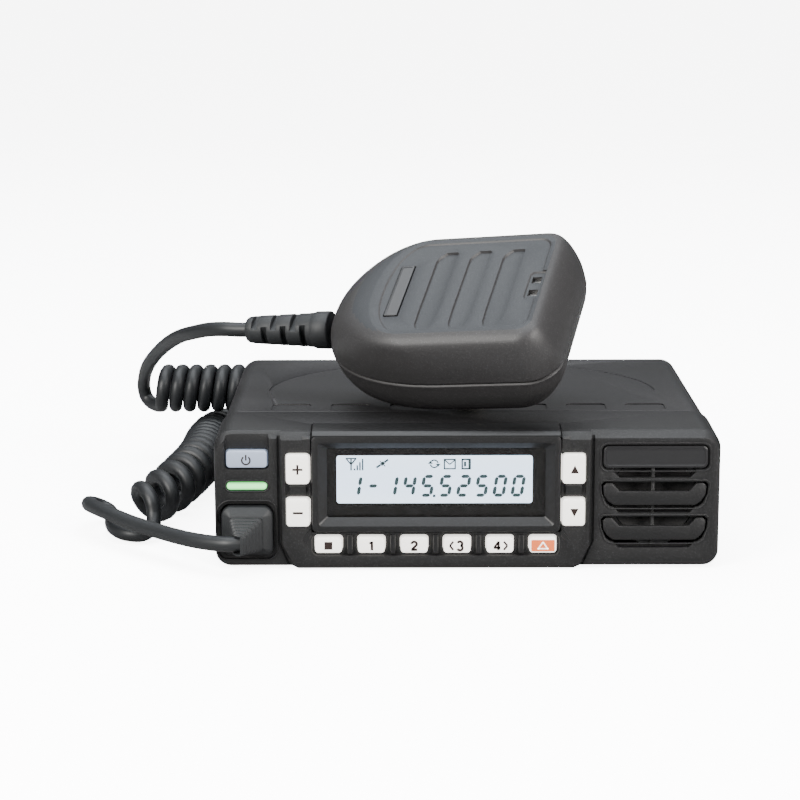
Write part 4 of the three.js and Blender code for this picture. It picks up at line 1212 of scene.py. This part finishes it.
def make_legends():
    front = span("key_stop")[0].y - 0.01
    centre = {}
    for name in LOWER_KEYS + SIDE_KEYS + ("key_power",):
        left, right, foot, head = cap_of(name)
        centre[name] = (left + right) / 2, (foot + head) / 2
    marks = {}
    x, z = centre["key_stop"]
    marks["key_stop"] = [bar(x - 1.25, z - 0.1, x + 1.25, z - 0.1, 2.5)]
    for name, symbol, shift in (("key_one", "1", 0), ("key_two", "2", 0), ("key_previous", "3", 0.9),
                                ("key_next", "4", -0.9)):
        x, z = centre[name]
        marks[name] = round_digit(symbol, x + shift, z - 0.2)
    # Arrowheads beside the outer two figures.
    for name, way in (("key_previous", -1), ("key_next", 1)):
        x, z = centre[name]
        marks[name] += [bar(x + way * 1.2, z + end, x + way * 2.3, z - 0.15, 0.62) for end in (1.2, -1.5)]
    x, z = centre["key_plus"]
    marks["key_plus"] = [bar(x - 1.6, z, x + 1.6, z, 0.68), bar(x, z - 1.6, x, z - 0.34, 0.68),
                         bar(x, z + 0.34, x, z + 1.6, 0.68)]
    x, z = centre["key_minus"]
    marks["key_minus"] = [bar(x - 1.6, z, x + 1.6, z, 0.72)]
    for name, way in (("key_up", 1), ("key_down", -1)):
        x, z = centre[name]
        marks[name] = [[(x - 1.1, z - way * 1.3), (x + 1.5, z - way * 1.3), (x + 0.2, z + way * 1.3)]]
    for name, outlines in marks.items():
        flat_shape("legend_" + name, outlines, front, 0.03, LEGEND_BROWN, name + "_body")
    x, z = centre["key_power"]
    power_front = span("key_power")[0].y - 0.01
    ring = arc_bars(x - 0.2, z - 0.3, 1.3, 125, 415, 0.46, 24)
    ring.append(bar(x - 0.2, z - 0.3, x - 0.2, z + 1.5, 0.46))
    flat_shape("legend_key_power", ring, power_front, 0.03, LEGEND_BROWN, "key_power_body")
    x, z = centre["key_alert"]
    patch = inset_rect((x - 3.7, x + 3.7, z - 2.0, z + 1.7), 0.3, 0, 3)
    flat_shape("alert_patch", [patch], front, 0.03, ALERT_ORANGE, "key_alert_body")
    peak, foot, half = z + 1.05, z - 1.3, 1.75
    triangle = [bar(x - half, foot + 0.16, x + half, foot + 0.16, 0.42),
                bar(x - half + 0.2, foot, x, peak, 0.42), bar(x + half - 0.2, foot, x, peak, 0.42)]
    flat_shape("alert_triangle", triangle, front - 0.035, 0.03, KEY_WHITE, "key_alert_body")


def round_digit(symbol, x, z):
    """Plain drawn figures 1 to 4, about 2.9 mm high."""
    w = 0.78
    if symbol == "1":
        return [bar(x + 0.2, z - 1.4, x + 0.2, z + 1.5, w), bar(x - 0.6, z + 0.8, x + 0.2, z + 1.25, 0.62)]
    if symbol == "2":
        return arc_bars(x, z + 0.6, 0.8, -35, 175, w) + [bar(x + 0.62, z + 0.2, x - 0.75, z - 1.25, w),
                                                        bar(x - 0.95, z - 1.22, x + 0.95, z - 1.22, w)]
    if symbol == "3":
        return arc_bars(x, z + 0.72, 0.72, -80, 160, w) + arc_bars(x, z - 0.65, 0.8, -160, 80, w)
    return [bar(x + 0.4, z - 1.4, x + 0.4, z + 1.5, w), bar(x + 0.4, z + 1.3, x - 0.95, z - 0.55, 0.66),
            bar(x - 1.1, z - 0.6, x + 1.0, z - 0.6, w)]


# ---------------------------------------------------------------- speaker grille
def make_grille():
    """Two notched vanes and the upright rib that ties them together."""
    vanes = None
    for z0, z1 in VANES:
        vane = prism("grille_vanes", vane_outline(z0, z1), FACE + 1.7, FACE + 0.15, PANEL_BLACK)
        vanes = combine(vanes, vane, how="UNION") if vanes else vane
    low, high = span("speaker_grille")
    middle = (SLOT_X[0] + SLOT_X[1]) / 2 - 0.5
    rib = block("rib", (middle - 0.55, FACE + 1.0, low.z + 1), (middle + 0.55, FACE + 2.9, high.z - 1))
    combine(vanes, rib, how="UNION")
    soften(vanes, 0.4, 2, angle=28)
    ride(vanes, "root", ("speaker_grille",))
    # Sloping sills behind the slots keep the eye out of the case.
    for i, z in enumerate((VANES[0][1] + 1.0, VANES[1][1] + 1.0, VANES[1][0] - 1.4), 1):
        sill = block(f"grille_sill_{i}", (SLOT_X[0] - 0.8, FACE + 1.9, z - 1.0),
                     (SLOT_X[1] + 0.8, FACE + 2.9, z - 0.3), PANEL_BLACK)
        ride(sill, "root")


def make_badge():
    """A plain plate with a sunk middle."""
    profile = ((FACE + 1.4, 0), (FACE + 0.55, 0), (FACE + 0.25, 0.1), (FACE + 0.1, 0.4), (FACE + 0.1, 0.85),
               (FACE + 0.28, 1.0), (FACE + 0.3, 1.2), (FACE + 0.3, 2.6))
    plate = stacked("badge_plate", BADGE_RECT, 1.7, profile, BADGE_BLACK, 6, 40)
    ride(plate, "root", ("grille_badge",))


# ---------------------------------------------------------------- microphone plug's boot
BOOT_RECT = (-77.8, -61.5, 4.2, 20.2)
BOOT_STEPS = 7


def make_boot():
    """A square plug body with stepped plates towards its lower left, where the cord leaves."""
    back = span("plug_boot")[1].y
    profile = [(back, 0.6), (back - 0.8, 0), (FACE - 0.2, 0), (FACE - 0.6, 0.12), (FACE - 1.0, 0.5),
               (FACE - 2.4, 2.4), (FACE - 2.7, 2.9), (FACE - 2.8, 3.6)]
    body = stacked("boot_body", BOOT_RECT, (3, 2.6, 3, 3), profile, RUBBER, 6, 40)
    start, end = FACE - 2.6, -76.3
    deep = (start - end) / BOOT_STEPS
    loops = []
    for k in range(BOOT_STEPS):
        rect = (-75.2 + 0.35 * k, -64.7 - 0.9 * k, 6.2 + 0.15 * k, 17.3 - 0.62 * k)
        y = start - k * deep
        for depth, inset in ((-0.3, 0.1), (0.35 - deep, 0.0), (0.12 - deep, 0.1), (0.02 - deep, 0.35)):
            loops.append(at_depth(inset_rect(rect, (1.2, 1.6, 1.5, 1.5), inset, 5), y + depth))
    sleeve = object_of("sleeve", loft(loops), RUBBER)
    combine(body, sleeve, how="UNION")
    mouth = rod("mouth", (-75.1, -73.4, 10.6), (-1, 0.1, 0), CORD_DIAMETER / 2 + 0.35, 8, 24)
    combine(body, mouth)
    combine(body, block("mouth_front", (-82, -80, 7.75), (-71.1, -73.3, 13.45)))
    shade(body, 30)
    return ride(body, "root", ("plug_boot",))


# ---------------------------------------------------------------- covers and chassis
ARC_CENTRE = (-0.3, -4)
ARC_REACH = (65.5, 52)
PAD_ROW = (-57, 7, 19.4, -30)        # first X, count, pitch and Y of the sunk pads


def make_top_cover():
    cover = edged_copy("top_cover", COVER_BLACK, 0.7, 3)
    steps = 48
    (x, y), (reach_x, reach_y) = ARC_CENTRE, ARC_REACH
    turns = [math.pi * k / steps for k in range(steps + 1)]
    arc = [(x + reach_x * math.cos(a), y + reach_y * math.sin(a), COVER_TOP + 0.12) for a in turns]
    cut = object_of("arc", tube(arc, 0.42, 8))
    x, count, pitch, y = PAD_ROW
    pads = [cut]
    for k in range(count):
        outline = rect_points(x + k * pitch - 6.4, x + k * pitch + 6.4, y - 5, y + 5, 1.6, 4)
        loops = [[(px, py, z) for px, py in outline] for z in (COVER_TOP - 0.35, COVER_TOP + 1)]
        pads.append(object_of("pad", loft(loops)))
    combine(cover, *pads)
    shade(cover, 30)


def round_case_edges():
    """The case's smaller parts keep their drawn shape and get their edges rounded."""
    for node, material, slot, width in (
            ("chassis", CAST_BLACK, "cast_black", 0.35), ("bottom_cover", COVER_BLACK, "cover_black", 0.5),
            ("panel_gasket", RUBBER, "rubber_black", 0.15),
            ("dc_power_inlet", SOCKET_BLACK, "socket_black", 0.25),
            ("speaker_jack", SOCKET_BLACK, "socket_black", 0.2), ("accessory_port", NICKEL, "steel", 0.3)):
        edged_copy(node, material, width)


def make_screws():
    """Four screws with rounded edges and a cross cut into each head, which faces down."""
    for k in range(1, 5):
        name = f"cover_screw_{k}"
        low, high = span(name)
        middle = Matrix.Translation(((low.x + high.x) / 2, (low.y + high.y) / 2, low.z))
        under = middle @ Matrix.Rotation(math.pi, 4, "X")
        screw = edged_copy(name, STEEL, 0.18)
        reach, depth = 1.9, 0.9
        bars = []
        for a, b in ((reach, reach * 0.22), (reach * 0.22, reach)):
            corners = ((-a, -b), (a, -b), (a, b), (-a, b))
            loops = [[under @ Vector((x, y, z)) for x, y in corners] for z in (-depth, 1)]
            bars.append(object_of("cross", loft(loops)))
        combine(screw, *bars)
        shade(screw, 30)


def make_rear():
    """The aerial socket with its thread, the pins of the sockets and the bracket's threaded holes."""
    low, high = span("antenna_connector")
    x, z = (low.x + high.x) / 2, (low.z + high.z) / 2
    wall = low.y
    flange = stacked("antenna_flange", (low.x, high.x, low.z, high.z), 1.5,
                     ((wall, 0), (wall + 1.7, 0), (wall + 2.0, 0.3)), NICKEL, 5)
    ride(flange, "root", ("antenna_connector",))
    back = Matrix.Translation((x, wall + 2.0, z)) @ Matrix.Rotation(-math.pi / 2, 4, "X")
    length = high.y - wall - 2.0
    profile = [(6.9, -0.4), (6.9, 0.8)]
    pitch = 1.06
    turns = int((length - 1.6) / pitch)
    for k in range(turns):
        base = 0.9 + k * pitch
        profile += [(7.1, base), (7.75, base + 0.38), (7.75, base + 0.56), (7.1, base + 0.94)]
    profile += [(7.1, length - 0.4), (6.8, length), (5.9, length), (5.7, length - 0.3),
                (5.7, length - 8.5), (0, length - 8.5)]
    ride(turned("antenna_barrel", profile, back, 48, NICKEL), "root")
    core = [(5.6, length - 8.6), (5.6, length - 3.4), (5.2, length - 3.0), (2.5, length - 3.0),
            (2.4, length - 3.2), (2.4, length - 8), (0, length - 8)]
    ride(turned("antenna_insulator", core, back, 36, MEMBRANE_GREY), "root")
    contact = [(2.3, length - 8.1), (2.3, length - 2.2), (2.0, length - 1.9), (1.6, length - 1.9),
               (1.5, length - 2.2), (1.5, length - 7), (0, length - 7)]
    ride(turned("antenna_contact", contact, back, 24, NICKEL), "root")
    for i, (dx, dz) in enumerate(((-7, -7), (7, -7), (7, 7), (-7, 7)), 1):
        head = [(1.35, 1.8), (1.35, 2.35), (1.1, 2.6), (0.35, 2.6), (0.3, 2.3), (0, 2.3)]
        place = Matrix.Translation((x + dx, wall, z + dz)) @ Matrix.Rotation(-math.pi / 2, 4, "X")
        ride(turned(f"antenna_screw_{i}", head, place, 20, STEEL), "root")
    low, high = span("accessory_port")
    middle = (low.z + high.z) / 2
    for row, (count, rise) in enumerate(((8, 1.5), (7, -1.5)), 1):
        pitch = 2.77
        first = (low.x + high.x) / 2 - pitch * (count - 1) / 2
        pin = rod("port_pin", (0, high.y - 0.4, 0), (0, 1, 0), 0.62, 0.7, 12, NICKEL, 0.4)
        pins = repeat(f"port_pins_{row}", pin, count, (first, 0, middle + rise), (pitch, 0, 0))
        ride(pins, "root")
    low, high = span("dc_power_inlet")
    middle = (low.z + high.z) / 2
    for i, x in enumerate((low.x + 5.8, high.x - 5.8), 1):
        blade = rod(f"power_pin_{i}", (x, low.y + 1.5, middle), (0, 1, 0), 1.1, 6.4, 20, NICKEL, 0.7)
        ride(blade, "root")
    low, high = span("chassis")
    for side, edge in ((-1, low.x), (1, high.x)):
        for k, y in enumerate((-8, 28), 1):
            place = Matrix.Translation((edge, y, 13.2)) @ Matrix.Rotation(side * math.pi / 2, 4, "Y")
            ring = [(3.4, -0.4), (3.4, 0.12), (3.1, 0.3), (2.2, 0.3), (2.0, 0.1), (2.0, -0.35), (0, -0.35)]
            name = f"bracket_boss_{'left' if side < 0 else 'right'}_{k}"
            ride(turned(name, ring, place, 28, STEEL), "root")


def finish_inner_parts():
    """What lies inside, or is too small to redraw, keeps its drawn shape."""
    coats = {
        BOARD_GREEN: ("control_board", "main_board", "mic_board"),
        SOCKET_BLACK: ("power_module", "mic_jack", "ptt_switch"),
        STEEL: ("shield_can", "mic_capsule", "mic_screw_1", "mic_screw_2", "mic_screw_3"),
        CAST_BLACK: ("speaker_frame",), CONE_PAPER: ("speaker_cone",), MEMBRANE_GREY: ("key_membrane",),
        NICKEL: ("hanger_stud",), PLUG_CLEAR: ("mic_plug",), WINDOW_CLEAR: ("display_window",)}
    for coat, nodes in coats.items():
        for node in nodes:
            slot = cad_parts[node].material_slots[0]
            slot.link = "OBJECT"
            slot.material = coat


# ---------------------------------------------------------------- everything together
make_front_panel()
make_face_rims()
make_bezel()
make_display()
make_led()
make_keys()
make_legends()
make_grille()
make_badge()
plug_boot = make_boot()
make_top_cover()
round_case_edges()
make_screws()
make_rear()
finish_inner_parts()
strain_relief = make_microphone()
cord, cord_line = make_cord()
